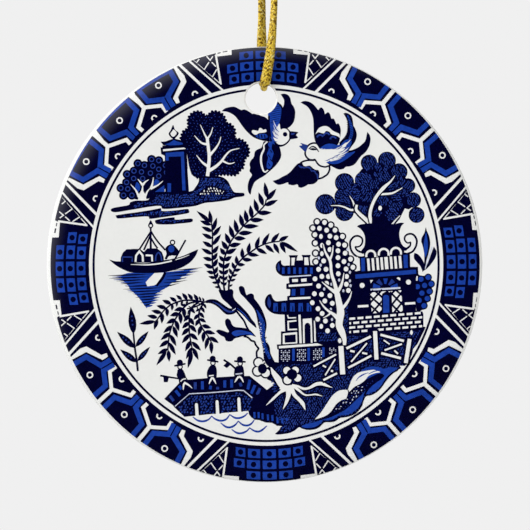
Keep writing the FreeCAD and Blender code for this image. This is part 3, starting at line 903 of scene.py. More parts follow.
def draw_island(draw):
    """The far island: its tower between a berry tree and a large tree, over strips of shore."""
    draw.motif = "island_shore"
    shore = curve(at(-25.75, 9.1, -25.2, 9.5, -22.8, 9.95, -22.5, 10.4, -21.5, 10.7, -19.5, 10.8,
        -18.5, 11.9, -12.7, 12.2, -11.6, 12.9, -11.0, 13.9, -10.9, 14.6, -9.7, 15.0, -8.5, 14.9, -7.0, 14.6,
        -6.1, 13.9, -5.6, 12.9, -5.0, 12.1, -3.6, 12.0, -3.35, 11.7, -3.6, 11.4, -5.0, 11.2, -6.0, 10.8,
        -8.0, 10.5, -10.0, 10.3, -11.6, 9.8, -14.0, 9.5, -16.9, 9.3, -17.4, 9.8, -19.0, 9.7, -22.0, 9.2,
        -25.0, 8.75), closed=True)
    second = curve(at(-24.85, 8.05, -24.5, 8.3, -20.0, 8.95, -17.6, 9.4, -17.3, 9.35, -17.1, 8.95,
        -15.0, 9.05, -13.0, 9.3, -12.65, 9.0, -12.8, 8.6, -15.0, 8.2, -17.5, 7.85, -19.2, 7.65,
        -19.55, 8.05, -22.0, 7.9, -24.4, 7.7), closed=True)
    third = curve(at(-18.3, 7.15, -18.0, 7.5, -15.2, 7.9, -14.9, 7.5, -12.4, 7.7, -12.0, 7.4, -12.4, 7.05,
        -14.8, 6.8, -16.0, 6.7, -17.9, 6.75), closed=True)
    for strip in (shore, second, third):
        draw.fill("navy", strip)
    for number, strip in enumerate((at(-22.4, 9.6, -21.3, 10.4, -19.0, 10.5, -18.0, 11.7, -12.2, 11.9,
            -11.2, 12.7, -10.6, 14.4, -8.5, 14.6, -6.9, 14.2, -5.9, 12.9, -5.2, 12.0, -5.0, 11.6,
            -6.2, 11.1, -10.0, 10.6, -12.0, 10.1, -16.6, 9.6, -17.4, 10.1, -19.2, 10.0, -21.8, 9.5),
            at(-23.9, 8.05, -20.0, 8.6, -17.6, 9.1, -15.0, 8.8, -13.2, 9.0, -13.1, 8.8, -17.4, 8.1,
            -19.3, 8.3, -22.0, 8.1), at(-17.9, 7.15, -17.6, 7.3, -15.2, 7.6, -12.5, 7.4, -14.8, 7.05,
            -17.6, 6.95))):
        draw.stipple("violet", strip, 0.4, 0.13, number + 2, 4, 1.8, 40, 60)
        draw.stipple("cobalt", strip, 0.9, 0.11, number + 12, 4, 1.8, 40, 60)
    draw.blob("navy", -11.4, 11.5, -10.6, 12.4, -9.2, 13.2, -7.7, 12.9, -6.1, 12.0, -7.6, 11.6, -8.8, 12.0,
        -10.0, 11.6)
    draw.stipple(BARE, at(-11.0, 11.6, -10.2, 12.35, -9.2, 13.0, -8.2, 12.8, -6.4, 12.1, -7.0, 11.5,
        -8.6, 11.95), 0.46, 0.125, 8, 4, 1.7, 60, 90)
    draw.motif = "island_berry_tree"
    draw.blob("navy", -23.2, 11.8, -23.6, 13.6, -21.9, 15.1, -19.5, 16.2, -17.7, 16.6, -16.4, 16.0,
        -16.2, 13.4, -17.5, 12.0, -19.5, 11.0, -21.6, 10.9)
    balls = at(-18.9, 17.6, -17.7, 17.4, -16.6, 16.6, -17.7, 15.95, -16.4, 15.4, -15.8, 14.4, -20.1, 16.6,
        -21.2, 16.9, -18.7, 16.5, -19.1, 15.3, -20.6, 15.5, -21.85, 15.65, -23.0, 15.1, -20.4, 14.4,
        -21.9, 14.4, -23.1, 13.75, -24.05, 12.8, -22.9, 12.65, -23.6, 11.6, -22.2, 11.6, -17.7, 14.8)
    draw.blob("navy", -20.9, 16.9, -19.3, 17.3, -17.0, 17.3, -15.9, 16.0, -15.6, 14.0, -17.0, 12.4,
        -19.0, 12.0, -22.0, 12.2, -23.2, 14.0, -22.2, 15.9)
    for ball in balls:
        draw.dot("navy", ball, 0.76)
    for ball in balls:
        draw.dot("violet", ball, 0.45)
        draw.dot("navy", ball, 0.29)
    draw.blob("cobalt", -21.7, 12.6, -21.4, 13.8, -20.8, 13.0, -21.1, 12.2)
    draw.blob("cobalt", -18.6, 13.2, -18.2, 14.3, -17.6, 13.9, -18.0, 13.3)
    draw.patch("cobalt", -18.7, 11.9, -16.7, 12.2, -16.8, 13.3)
    draw.patch(BARE, -21.2, 10.7, -21.1, 11.6, -20.7, 12.3, -20.3, 12.3, -20.0, 11.8, -19.7, 10.75)
    for twig in (at(-21.0, 11.3, -21.6, 12.5, -22.4, 13.4), at(-20.5, 12.0, -20.4, 13.0, -20.4, 13.5),
            at(-20.4, 13.3, -20.8, 13.8, -21.2, 14.3), at(-20.4, 13.3, -20.0, 13.8, -19.4, 14.2),
            at(-20.0, 11.4, -19.5, 12.4, -18.9, 12.9), at(-19.0, 12.8, -18.75, 13.6, -18.6, 14.6),
            at(-19.1, 12.7, -18.0, 13.2, -17.0, 14.0)):
        draw.line(BARE, twig, [0.44, 0.26, 0.1])
    draw.motif = "island_tower"
    draw.blob("navy", -15.3, 23.35, -15.0, 22.6, -14.35, 22.0, -14.8, 21.3, -15.2, 21.05, -15.7, 21.3,
        -16.05, 21.9, -15.7, 22.5)
    draw.blob(BARE, -15.2, 22.6, -14.7, 22.05, -15.1, 21.45, -15.45, 21.45, -15.75, 21.9, -15.45, 22.35)
    draw.patch("navy", -17.4, 20.55, -16.6, 20.6, -15.5, 21.0, -15.2, 21.2, -14.8, 21.0, -13.9, 20.8,
        -12.8, 20.4, -13.1, 19.75, -16.9, 19.95)
    draw.patch("cobalt", -16.7, 20.1, -15.9, 20.35, -15.2, 20.85, -14.6, 20.6, -13.7, 20.35, -13.6, 20.1,
        -15.4, 19.85)
    draw.patch("navy", -17.4, 19.6, -12.9, 19.8, -12.9, 18.9, -12.9, 16.0, -12.65, 12.1, -16.6, 12.1,
        -16.7, 18.2, -17.3, 18.5)
    draw.line("navy", at(-17.1, 19.75, -13.0, 19.9), 0.2)
    draw.line("navy", at(-18.6, 11.95, -12.7, 12.1), 0.3)
    draw.patch(BARE, -17.0, 19.3, -13.15, 19.6, -13.2, 19.35, -17.0, 18.95)
    draw.patch("cobalt", -16.55, 18.7, -13.5, 18.9, -13.2, 12.4, -13.75, 12.4, -14.0, 18.1, -16.05, 18.05,
        -16.05, 17.4, -16.55, 17.4)
    draw.patch("cobalt", -16.25, 12.15, -15.65, 12.15, -15.65, 13.6, -16.25, 13.6)
    draw.motif = "island_tree"
    crown = curve(at(-14.0, 20.9, -13.95, 21.2, -13.6, 22.2, -12.9, 22.7, -12.7, 23.2, -12.8, 24.0,
        -12.6, 24.7, -12.1, 25.3, -11.5, 25.55, -10.7, 25.5, -10.2, 25.1, -9.75, 24.85, -9.2, 25.2,
        -8.9, 25.5, -8.3, 25.6, -7.5, 25.4, -6.9, 24.9, -6.55, 24.2, -6.4, 23.7, -5.8, 23.5, -5.2, 22.9,
        -4.95, 22.2, -5.05, 21.5, -5.0, 21.05, -4.3, 20.95, -3.5, 20.6, -2.95, 20.0, -2.7, 19.3,
        -2.65, 18.8, -2.8, 18.2, -3.3, 17.7, -3.5, 17.0, -3.6, 16.3, -4.1, 15.8, -4.6, 15.2, -5.2, 15.0,
        -6.9, 15.1, -9.0, 14.8, -11.0, 14.5, -12.0, 15.0, -12.5, 15.6, -12.75, 16.3, -12.9, 17.2,
        -12.85, 18.0, -13.1, 18.8, -13.3, 20.0), closed=True)
    draw.scallops("navy", crown, 0.58, 0.3)
    draw.stipple("violet", turned(crown, 0, crown.mean(0), (0.96, 0.96)), 0.6, 0.08, 5, 4, 2.0, 60, 90)
    draw.branches((
        (at(-9.55, 14.8, -9.4, 16.0, -9.25, 18.0, -9.4, 19.5, -9.6, 21.2), [0.6, 0.5]),
        (at(-9.6, 21.0, -10.1, 22.0, -10.75, 23.4), [0.35, 0.1]),
        (at(-9.6, 21.0, -9.0, 21.9, -8.65, 23.0), [0.35, 0.1]),
        (at(-9.5, 20.1, -10.6, 20.4, -11.75, 21.6), [0.45, 0.1]),
        (at(-9.25, 18.2, -8.3, 19.3, -7.6, 20.4, -7.3, 21.4), [0.5, 0.12]),
        (at(-9.4, 16.4, -10.4, 17.1, -11.4, 18.3), [0.5, 0.1]),
        (at(-9.5, 15.6, -8.3, 16.3, -7.3, 17.2, -6.4, 18.4, -5.6, 19.1, -4.2, 19.45), [0.6, 0.35, 0.12]),
        (at(-7.1, 17.4, -6.2, 16.95, -5.6, 16.9, -5.0, 17.1), [0.35, 0.12])), 0.12)
    draw.patch(BARE, -13.0, 18.6, -12.85, 16.0, -12.65, 12.7, -11.3, 14.4, -12.2, 15.0, -12.65, 16.5)


def draw_boat(draw):
    """The boat with two cabins, a mast and a boatman, over its broken reflection."""
    draw.motif = "boat_reflection"
    rows = at(-26.2, -19.0, -26.0, -19.3, -24.8, -20.0, -24.1, -20.2, -23.3, -18.0, -23.7, -17.0,
        -22.8, -17.3, -22.0, -17.4, -21.6, -17.8, -21.0, -18.0, -20.8, -18.4, -20.2, -19.0)
    draw.patch("cobalt", -24.0, -1.75, -22.8, -1.4, -16.5, -1.3, -15.9, -3.6, -17.0, -4.2, -18.2, -4.9,
        -18.7, -5.7, -19.3, -6.4, -19.7, -7.35, -20.3, -6.6, -20.7, -6.0, -21.2, -5.4, -21.8, -4.8,
        -22.5, -4.2, -22.9, -3.4, -23.6, -2.75)
    for number, (start, end) in enumerate(rows):
        v = -1.75 - 0.455 * number
        draw.line("cobalt", at(start + 0.7, v - 0.36, (start + end) / 2, v - 0.25, end + 0.3, v - 0.08),
            [0.04, 0.34, 0.34, 0.04])
        draw.line("navy", at(start, v - 0.12, (start + end) / 2, v, end, v + 0.16),
            [-0.06, 0.14, 0.13, -0.07])
    draw.patch("cobalt", -16.8, -1.3, -13.0, -0.9, -12.2, -1.2, -13.6, -1.9, -14.6, -2.6, -16.0, -3.4,
        -17.4, -3.9, -18.0, -3.4)
    for start, end, v in ((-13.5, -11.2, -0.95), (-14.0, -11.6, -1.4), (-14.5, -12.4, -1.9),
            (-15.0, -13.1, -2.4), (-16.0, -13.9, -2.9), (-17.0, -15.3, -3.5)):
        draw.line("cobalt", at(start, v - 0.05, end, v + 0.12), [0.4, 0.36, 0.03])
    for row in (at(-15.2, -0.95, -12.5, -0.75, -10.4, -0.5), at(-16.3, -1.5, -13.5, -1.3, -11.0, -1.1),
            at(-16.3, -2.0, -14.0, -1.8, -11.9, -1.6), at(-16.5, -2.55, -14.5, -2.5, -12.9, -2.1),
            at(-16.9, -3.05, -15.0, -2.95, -12.9, -2.6), at(-17.6, -3.7, -15.8, -3.5, -14.2, -3.1)):
        draw.line("navy", row, [-0.04, 0.13, -0.06])
    draw.patch(BARE, -18.4, -1.4, -16.75, -1.35, -17.2, -2.3, -17.9, -3.2, -18.5, -3.5, -19.6, -3.65,
        -19.9, -3.0, -19.3, -2.3)
    draw.line("navy", at(-16.6, -1.3, -17.1, -2.3, -18.1, -3.6), [0.35, 0.4, 0.3])
    draw.motif = "boat"
    draw.fill("navy", shape(
        at(-26.05, 0.85, -25.0, 0.55, -23.9, 0.5, -20.0, 0.2, -17.0, 0.7, -15.0, 1.05, -13.5, 1.5,
        -12.3, 2.05, -11.1, 2.55),
        at(-11.4, 1.7, -12.0, 0.8, -13.0, -0.05, -14.5, -0.75, -16.8, -1.3, -19.5, -1.45, -22.2, -1.35,
        -23.4, -0.95, -24.4, -0.45, -25.2, 0.1, -26.05, 0.85)))
    draw.fill("navy", at(-24.1, 0.3, -24.05, 1.2, -23.7, 2.0, -23.1, 2.55, -20.9, 2.65, -20.2, 2.1,
        -19.6, 2.7, -18.0, 2.7, -17.2, 2.1, -16.9, 1.3, -16.8, 0.3))
    draw.line("violet", at(-23.8, 0.45, -23.75, 1.25, -22.15, 1.25, -22.15, 0.45), 0.24, smooth=False)
    draw.bar(BARE, at(-21.6, 0.45, -21.5, 1.5, -20.95, 2.2, -20.4, 1.5, -20.35, 0.45), 0.34)
    draw.bar(BARE, at(-19.9, 1.55, -18.85, 1.5, -18.8, 0.5), 0.3)
    draw.line("violet", at(-18.25, 0.6, -18.15, 1.5, -17.75, 2.0, -17.35, 1.5, -17.2, 0.6), 0.24)
    draw.line(BARE, at(-22.4, 0.02, -20.0, -0.06, -18.0, 0.1, -16.4, 0.4, -15.5, 0.62), [0.08, 0.24, 0.24])
    draw.line(BARE, at(-14.9, 0.8, -13.6, 1.2, -12.6, 1.6), [0.18, 0.1])
    for rope in (at(-19.05, 5.5, -20.9, 2.6), at(-19.05, 5.0, -20.2, 2.4),
            at(-19.05, 5.6, -18.0, 4.0, -16.6, 2.4), at(-19.0, 4.4, -18.4, 3.4, -17.9, 2.7)):
        draw.line("navy", rope, 0.2)
    draw.line("navy", at(-19.05, 6.2, -19.05, 2.6), [0.2, 0.28])
    draw.blob("navy", -19.05, 7.4, -18.75, 6.9, -18.6, 6.5, -18.85, 6.1, -19.05, 5.9, -19.25, 6.1,
        -19.5, 6.5, -19.35, 6.9)
    draw.dot(BARE, (-19.05, 6.5), 0.22)
    draw.line("navy", at(-13.2, 4.1, -15.0, 0.9), 0.2)
    draw.blob("navy", -16.6, 2.7, -16.0, 3.3, -15.4, 3.3, -14.9, 3.0, -14.3, 2.1, -14.9, 1.5, -15.6, 1.5,
        -16.3, 0.9, -16.7, 1.0, -16.4, 1.8)
    draw.dot("cobalt", (-15.6, 2.6), (0.52, 0.58))
    draw.ring("navy", (-15.4, 3.7), 0.37, 0.22, BARE)
    draw.blob(BARE, -16.3, 0.9, -16.0, 1.4, -15.6, 1.4, -15.4, 1.05, -15.8, 0.85)


def draw_sprig(draw):
    """The sprig of spotted leaves at the left."""
    draw.motif = "leaf_sprig"
    draw.line("navy", at(-21.2, -17.85, -21.4, -16.0, -21.7, -14.0, -21.9, -12.0, -22.0, -11.0), [0.28, 0.2])
    for tip, base, width in (((-22.4, -7.05), (-21.9, -11.7), 1.3), ((-24.7, -11.25), (-21.7, -14.0), 1.15),
            ((-19.4, -11.15), (-21.6, -13.8), 0.95), ((-24.2, -14.2), (-21.35, -16.4), 1.05),
            ((-19.15, -13.75), (-21.3, -16.2), 0.85)):
        draw.leaf("navy", base, tip, width)
        for t in (0.35, 0.5, 0.65):
            draw.dot("violet", np.array(base) + (np.array(tip) - base) * t, 0.16, 6)


def draw_frond(draw, stem, leaves, width=0.72):
    """A thin stem and its leaves, each given as its base and its tip. The short ones are narrower."""
    draw.line("navy", stem, [0.24, 0.14])
    for base_u, base_v, tip_u, tip_v in leaves.reshape(-1, 4):
        length = math.hypot(tip_u - base_u, tip_v - base_v)
        draw.leaf("navy", (base_u, base_v), (tip_u, tip_v), width * min(1.0, length / 1.6))


def draw_fronds(draw):
    """The fronds that stand up from the willow, and those that hang at its left."""
    draw.motif = "willow_fronds"
    draw_frond(draw, at(-7.3, -4.4, -7.9, -3.0, -8.3, -2.0, -8.5, -1.0, -8.7, 0.0, -8.75, 3.0, -8.7, 5.0,
        -8.9, 7.0, -9.1, 7.6), at(-7.4, -3.8, -8.4, -3.75, -7.8, -3.1, -8.85, -3.0, -8.2, -2.3, -9.4, -2.0,
        -8.4, -1.5, -9.75, -1.1, -8.6, -0.6, -10.2, 0.1, -8.7, 0.7, -10.35, 1.2, -8.75, 1.7, -10.6, 2.7,
        -8.75, 2.9, -10.4, 3.9, -8.7, 4.3, -10.5, 5.2, -8.7, 5.5, -10.6, 6.35, -8.9, 6.6, -10.85, 7.35,
        -9.0, 7.0, -11.4, 9.0, -7.7, -3.3, -7.6, -2.0, -8.2, -2.4, -7.75, -1.3, -8.4, -1.6, -7.8, -0.3,
        -8.6, -0.4, -7.8, 1.0, -8.7, 0.7, -7.85, 2.0, -8.7, 1.8, -7.65, 3.2, -8.7, 3.2, -7.25, 5.1,
        -8.7, 4.7, -7.25, 6.5, -8.7, 5.6, -7.95, 7.9, -8.9, 6.8, -9.25, 9.1))
    draw_frond(draw, at(-6.7, -4.4, -6.85, -3.0, -6.85, 0.0, -6.7, 1.0, -6.4, 2.0, -6.0, 3.0, -5.6, 3.9,
        -5.1, 4.6, -4.5, 5.3, -3.6, 6.4, -2.9, 7.1, -2.1, 7.8, -1.1, 8.7, 0.0, 9.9, 0.3, 10.9),
        at(-6.9, -3.4, -7.4, -2.8, -6.9, -2.5, -7.6, -1.8, -6.9, -1.6, -7.7, -0.9, -6.9, -0.6, -7.75, 0.4,
        -6.8, 0.5, -7.6, 1.5, -6.6, 1.6, -7.45, 2.8, -6.2, 2.5, -7.2, 4.0, -5.8, 3.4, -6.6, 5.3, -5.2, 4.4,
        -5.9, 6.6, -4.5, 5.2, -5.05, 7.6, -3.6, 6.3, -4.15, 8.5, -2.9, 7.0, -3.3, 9.2, -2.1, 7.7,
        -2.4, 10.0, -1.1, 8.7, -1.75, 11.0, -0.2, 9.8, -1.0, 12.1, 0.45, 11.1, 0.0, 13.8, -6.8, -3.6,
        -6.3, -2.9, -6.8, -2.7, -6.15, -1.9, -6.8, -1.7, -6.0, -0.8, -6.8, -0.7, -5.8, 0.3, -6.7, 0.6,
        -5.45, 1.4, -6.4, 1.8, -4.65, 2.7, -5.9, 3.1, -3.9, 3.5, -5.1, 4.4, -3.1, 4.35, -4.4, 5.2,
        -1.95, 5.35, -3.6, 6.35, -0.9, 6.45, -2.4, 7.4, -0.1, 7.5, -1.2, 8.6, 1.25, 8.7, 0.0, 9.85,
        2.25, 10.8, 0.3, 10.7, 2.0, 12.7), 0.82)
    draw_frond(draw, at(-6.0, -4.4, -5.9, -3.0, -5.3, -1.6, -5.0, -0.8, -4.6, 0.0, -3.6, 1.1, -2.9, 1.7,
        -2.0, 2.3, -1.1, 2.9, 0.0, 3.4, 1.1, 3.7, 2.6, 3.9), at(-5.9, -3.2, -6.2, -2.4, -5.7, -2.5,
        -6.0, -1.6, -5.4, -1.7, -5.95, -0.6, -5.0, -0.8, -5.45, 0.45, -4.6, 0.0, -4.75, 1.5, -3.7, 1.0,
        -3.75, 2.8, -2.8, 1.8, -2.45, 3.7, -1.5, 2.6, -0.85, 4.7, -0.4, 3.2, 0.85, 5.3, 1.1, 3.7, 2.5, 5.3,
        2.4, 3.95, 4.05, 4.8, -5.9, -3.7, -5.3, -3.3, -5.7, -2.8, -4.8, -2.4, -5.4, -2.0, -4.5, -1.6,
        -5.1, -1.1, -3.9, -0.75, -4.6, 0.0, -3.2, -0.05, -3.7, 0.85, -2.0, 0.75, -2.9, 1.75, -0.85, 1.5,
        -1.4, 2.7, 0.45, 1.75, 0.1, 3.3, 1.65, 1.95, 1.5, 3.6, 2.5, 1.75, 2.6, 3.75, 3.55, 1.85, 2.7, 3.85,
        5.6, 2.1))
    draw_frond(draw, at(-10.0, -6.3, -11.0, -6.15, -12.0, -6.0, -13.5, -6.0, -14.6, -6.3, -15.6, -6.7,
        -16.4, -7.3, -17.2, -8.1, -17.8, -9.0, -18.3, -9.6), at(-10.1, -6.2, -10.4, -5.5, -10.6, -6.1,
        -11.0, -5.3, -11.1, -6.1, -11.85, -4.9, -12.0, -5.9, -12.85, -4.85, -12.9, -5.9, -13.8, -4.75,
        -13.8, -5.9, -14.8, -5.1, -14.7, -6.2, -15.9, -5.45, -15.6, -6.6, -17.15, -5.95, -16.4, -7.3,
        -18.1, -6.9, -17.2, -8.1, -19.0, -7.7, -17.9, -8.9, -19.65, -8.55, -18.2, -9.5, -21.0, -9.95,
        -12.9, -6.0, -13.1, -6.9, -13.7, -6.0, -14.0, -6.9, -14.6, -6.2, -14.75, -7.1, -15.4, -6.6,
        -15.5, -7.75, -16.3, -7.3, -16.3, -8.75, -17.1, -8.1, -17.2, -9.9, -17.9, -9.1, -18.5, -10.95))
    draw_frond(draw, at(-11.2, -6.2, -12.6, -6.5, -13.5, -7.2, -14.3, -8.2, -14.9, -9.1, -15.4, -10.1,
        -15.8, -11.2, -16.0, -12.3, -16.2, -14.4), at(-13.0, -6.8, -14.1, -6.8, -13.6, -7.3, -15.15, -7.7,
        -14.3, -8.1, -15.85, -8.6, -14.9, -9.1, -16.45, -9.9, -15.4, -10.2, -16.95, -11.45, -15.8, -11.4,
        -17.4, -12.65, -16.0, -12.7, -17.65, -13.85, -16.1, -14.1, -17.9, -15.0, -16.4, -14.5, -18.1, -16.9,
        -13.5, -7.3, -13.4, -9.0, -14.1, -8.1, -14.0, -10.0, -14.9, -9.3, -14.3, -11.2, -15.3, -10.3,
        -14.55, -12.25, -15.8, -11.7, -14.75, -13.7, -16.0, -13.0, -14.85, -15.15, -16.1, -14.3,
        -15.95, -16.3), 0.74)
    draw_frond(draw, at(-11.0, -6.3, -12.1, -7.1, -12.5, -8.0, -12.6, -9.0, -12.6, -11.0, -12.5, -12.0,
        -12.1, -14.2), at(-12.3, -7.4, -12.9, -8.4, -12.6, -8.4, -13.55, -9.6, -12.6, -9.6, -13.8, -10.7,
        -12.6, -10.6, -13.9, -11.9, -12.5, -11.6, -13.85, -13.2, -12.3, -12.7, -13.3, -14.55, -12.1, -13.8,
        -13.15, -15.85, -12.1, -14.6, -12.85, -17.4, -12.4, -7.3, -11.6, -8.2, -12.6, -8.9, -11.75, -10.2,
        -12.5, -10.1, -11.35, -11.4, -12.5, -11.5, -11.1, -12.7, -12.2, -12.9, -10.6, -14.45, -12.0, -13.9,
        -11.05, -16.0), 0.74)
    draw_frond(draw, at(-10.2, -6.5, -10.8, -7.5, -11.0, -8.5, -10.9, -9.5, -10.6, -10.3, -10.2, -11.0,
        -9.6, -11.8, -8.95, -12.9), at(-10.8, -7.4, -11.6, -7.9, -11.0, -8.3, -11.9, -9.3, -10.9, -9.1,
        -11.6, -10.35, -10.6, -10.2, -11.1, -11.95, -10.15, -11.2, -10.3, -13.1, -9.4, -12.1, -9.95, -14.25,
        -8.95, -12.8, -8.85, -15.05, -10.2, -6.5, -9.75, -7.4, -10.6, -7.1, -10.0, -8.1, -10.9, -8.0,
        -10.05, -9.0, -10.9, -9.0, -9.75, -9.7, -10.5, -10.15, -8.9, -10.65, -10.0, -11.15, -8.2, -11.6,
        -9.2, -12.1, -7.65, -13.15), 0.72)
    draw_frond(draw, at(-10.2, -6.35, -11.2, -6.9, -12.0, -7.2, -13.0, -7.4),
        at(-10.8, -6.6, -11.3, -6.3, -11.5, -7.0, -12.0, -6.5, -12.3, -7.2, -12.8, -6.9, -11.3, -6.9,
        -11.2, -7.6, -12.0, -7.2, -12.0, -8.0), 0.5)


def draw_willow(draw):
    """The willow's trunk with its cut boughs, shaded on one side and bare on the other."""
    draw.motif = "willow_trunk"
    draw.blob("navy", -7.65, -4.2, -6.5, -4.35, -5.6, -4.1, -5.2, -4.5, -5.25, -5.3, -4.9, -6.0, -4.2, -6.7,
        -3.4, -7.5, -2.7, -8.3, -2.1, -9.2, -1.55, -9.9, -1.35, -10.6, -1.8, -10.3, -2.6, -9.6, -3.3, -8.8,
        -4.0, -8.1, -4.7, -7.6, -5.2, -7.45, -5.6, -7.1, -6.2, -6.5, -6.8, -6.0, -7.2, -5.5, -7.4, -5.0)
    draw.blob("navy", -10.1, -6.3, -9.6, -5.95, -8.9, -5.8, -8.1, -5.9, -7.4, -6.3, -6.7, -6.8, -6.1, -7.2,
        -5.6, -7.35, -5.1, -7.1, -4.6, -7.5, -4.7, -7.9, -5.1, -8.25, -5.8, -8.4, -6.4, -8.35, -7.0, -7.9,
        -7.6, -7.3, -8.3, -6.8, -9.0, -6.5, -9.7, -6.45)
    draw.line("violet", at(-8.7, -6.2, -7.7, -6.7, -6.7, -7.5, -5.9, -7.9, -5.1, -7.8),
        [0.06, 0.24, 0.34, 0.2])
    draw.line("pale", at(-5.4, -7.7, -5.0, -7.5, -4.8, -7.3), [0.1, 0.16, 0.06])
    draw.line("navy", at(-4.7, -7.8, -4.0, -8.7, -3.4, -9.5, -3.0, -10.4, -2.6, -11.1), 0.24)
    draw.line("cobalt", at(-4.6, -7.3, -3.5, -8.2, -2.5, -9.4), [0.05, 0.16, 0.05])
    draw.blob("navy", -8.1, -11.15, -7.7, -10.9, -7.0, -11.05, -6.2, -11.35, -5.95, -11.2, -6.3, -10.6,
        -6.6, -9.8, -6.5, -9.2, -6.1, -9.05, -5.7, -9.4, -5.4, -10.1, -4.9, -10.45, -4.0, -10.55,
        -3.0, -10.7, -2.4, -11.0, -1.9, -11.5, -1.45, -12.1, -2.2, -11.85, -2.9, -11.9, -3.6, -12.0,
        -4.3, -12.2, -5.0, -12.4, -5.4, -12.8, -6.0, -12.9, -6.5, -12.7, -6.7, -12.2, -7.3, -11.9,
        -7.8, -11.5)
    draw.blob("cobalt", -5.5, -11.5, -5.0, -11.1, -4.0, -11.0, -3.0, -11.2, -2.3, -11.4, -1.8, -11.9,
        -2.7, -11.7, -3.8, -11.8, -4.9, -12.0)
    draw.line("violet", at(-5.0, -11.6, -4.2, -11.4, -3.2, -11.45), [0.05, 0.3, 0.05])
    draw.line("navy", at(-3.5, -12.0, -2.8, -12.2, -2.2, -12.75, -1.7, -12.9, -1.5, -13.4, -1.2, -13.8,
        -1.0, -14.1, -1.3, -14.6, -1.3, -15.3, -1.2, -15.7), 0.24)
    trunk = at(-4.3, -4.1, -4.2, -3.7, -3.8, -3.6, -3.4, -3.9, -3.2, -4.6, -3.0, -5.1, -2.7, -4.95,
        -2.2, -4.85, -1.8, -5.1, -1.7, -5.7, -1.3, -6.2, -0.8, -6.9, -0.4, -7.6, 0.0, -8.6, 0.3, -9.6,
        0.35, -10.5, 0.15, -11.5, 0.15, -12.5, 0.3, -13.0, 0.7, -13.4, 0.9, -14.0, 1.0, -14.8, 1.3, -15.5,
        1.7, -16.3, 1.9, -17.0, 0.6, -17.0, -0.05, -16.0, -0.2, -15.0, -0.3, -14.0, -0.5, -13.0,
        -0.7, -12.0, -0.85, -11.0, -1.1, -10.0, -1.25, -9.0, -1.5, -8.0, -2.0, -7.1, -2.7, -6.3, -3.4, -5.5,
        -4.0, -4.9)
    draw.fill("navy", curve(trunk, closed=True))
    draw.line("cobalt", at(-1.3, -7.6, -0.8, -8.6, -0.4, -9.8, -0.35, -11.0, -0.25, -12.0, 0.0, -13.4,
        0.4, -14.6, 0.9, -15.8), [0.1, 0.5, 0.85, 0.85, 0.5, 0.5, 0.6, 0.4])
    draw.stipple("navy", at(-0.9, -9, 0.2, -9, 0.3, -12, 0.9, -15.5, 0.1, -15.5, -0.8, -11), 0.34, 0.09,
        3, 4, 1.8, 75)
    draw.stipple("pale", at(-1.05, -9.6, -0.6, -9.6, -0.3, -12.5, 0.0, -15.0, -0.3, -15.0, -0.9, -11),
        0.36, 0.08, 4, 4, 2.0, 10)


RAIL_MARGIN = 0.26            # how much navy shows round the fence's rails


def edged(draw, points, widths, edge):
    """A bare line with a navy edge on either side."""
    draw.branches([(points, widths)], edge)


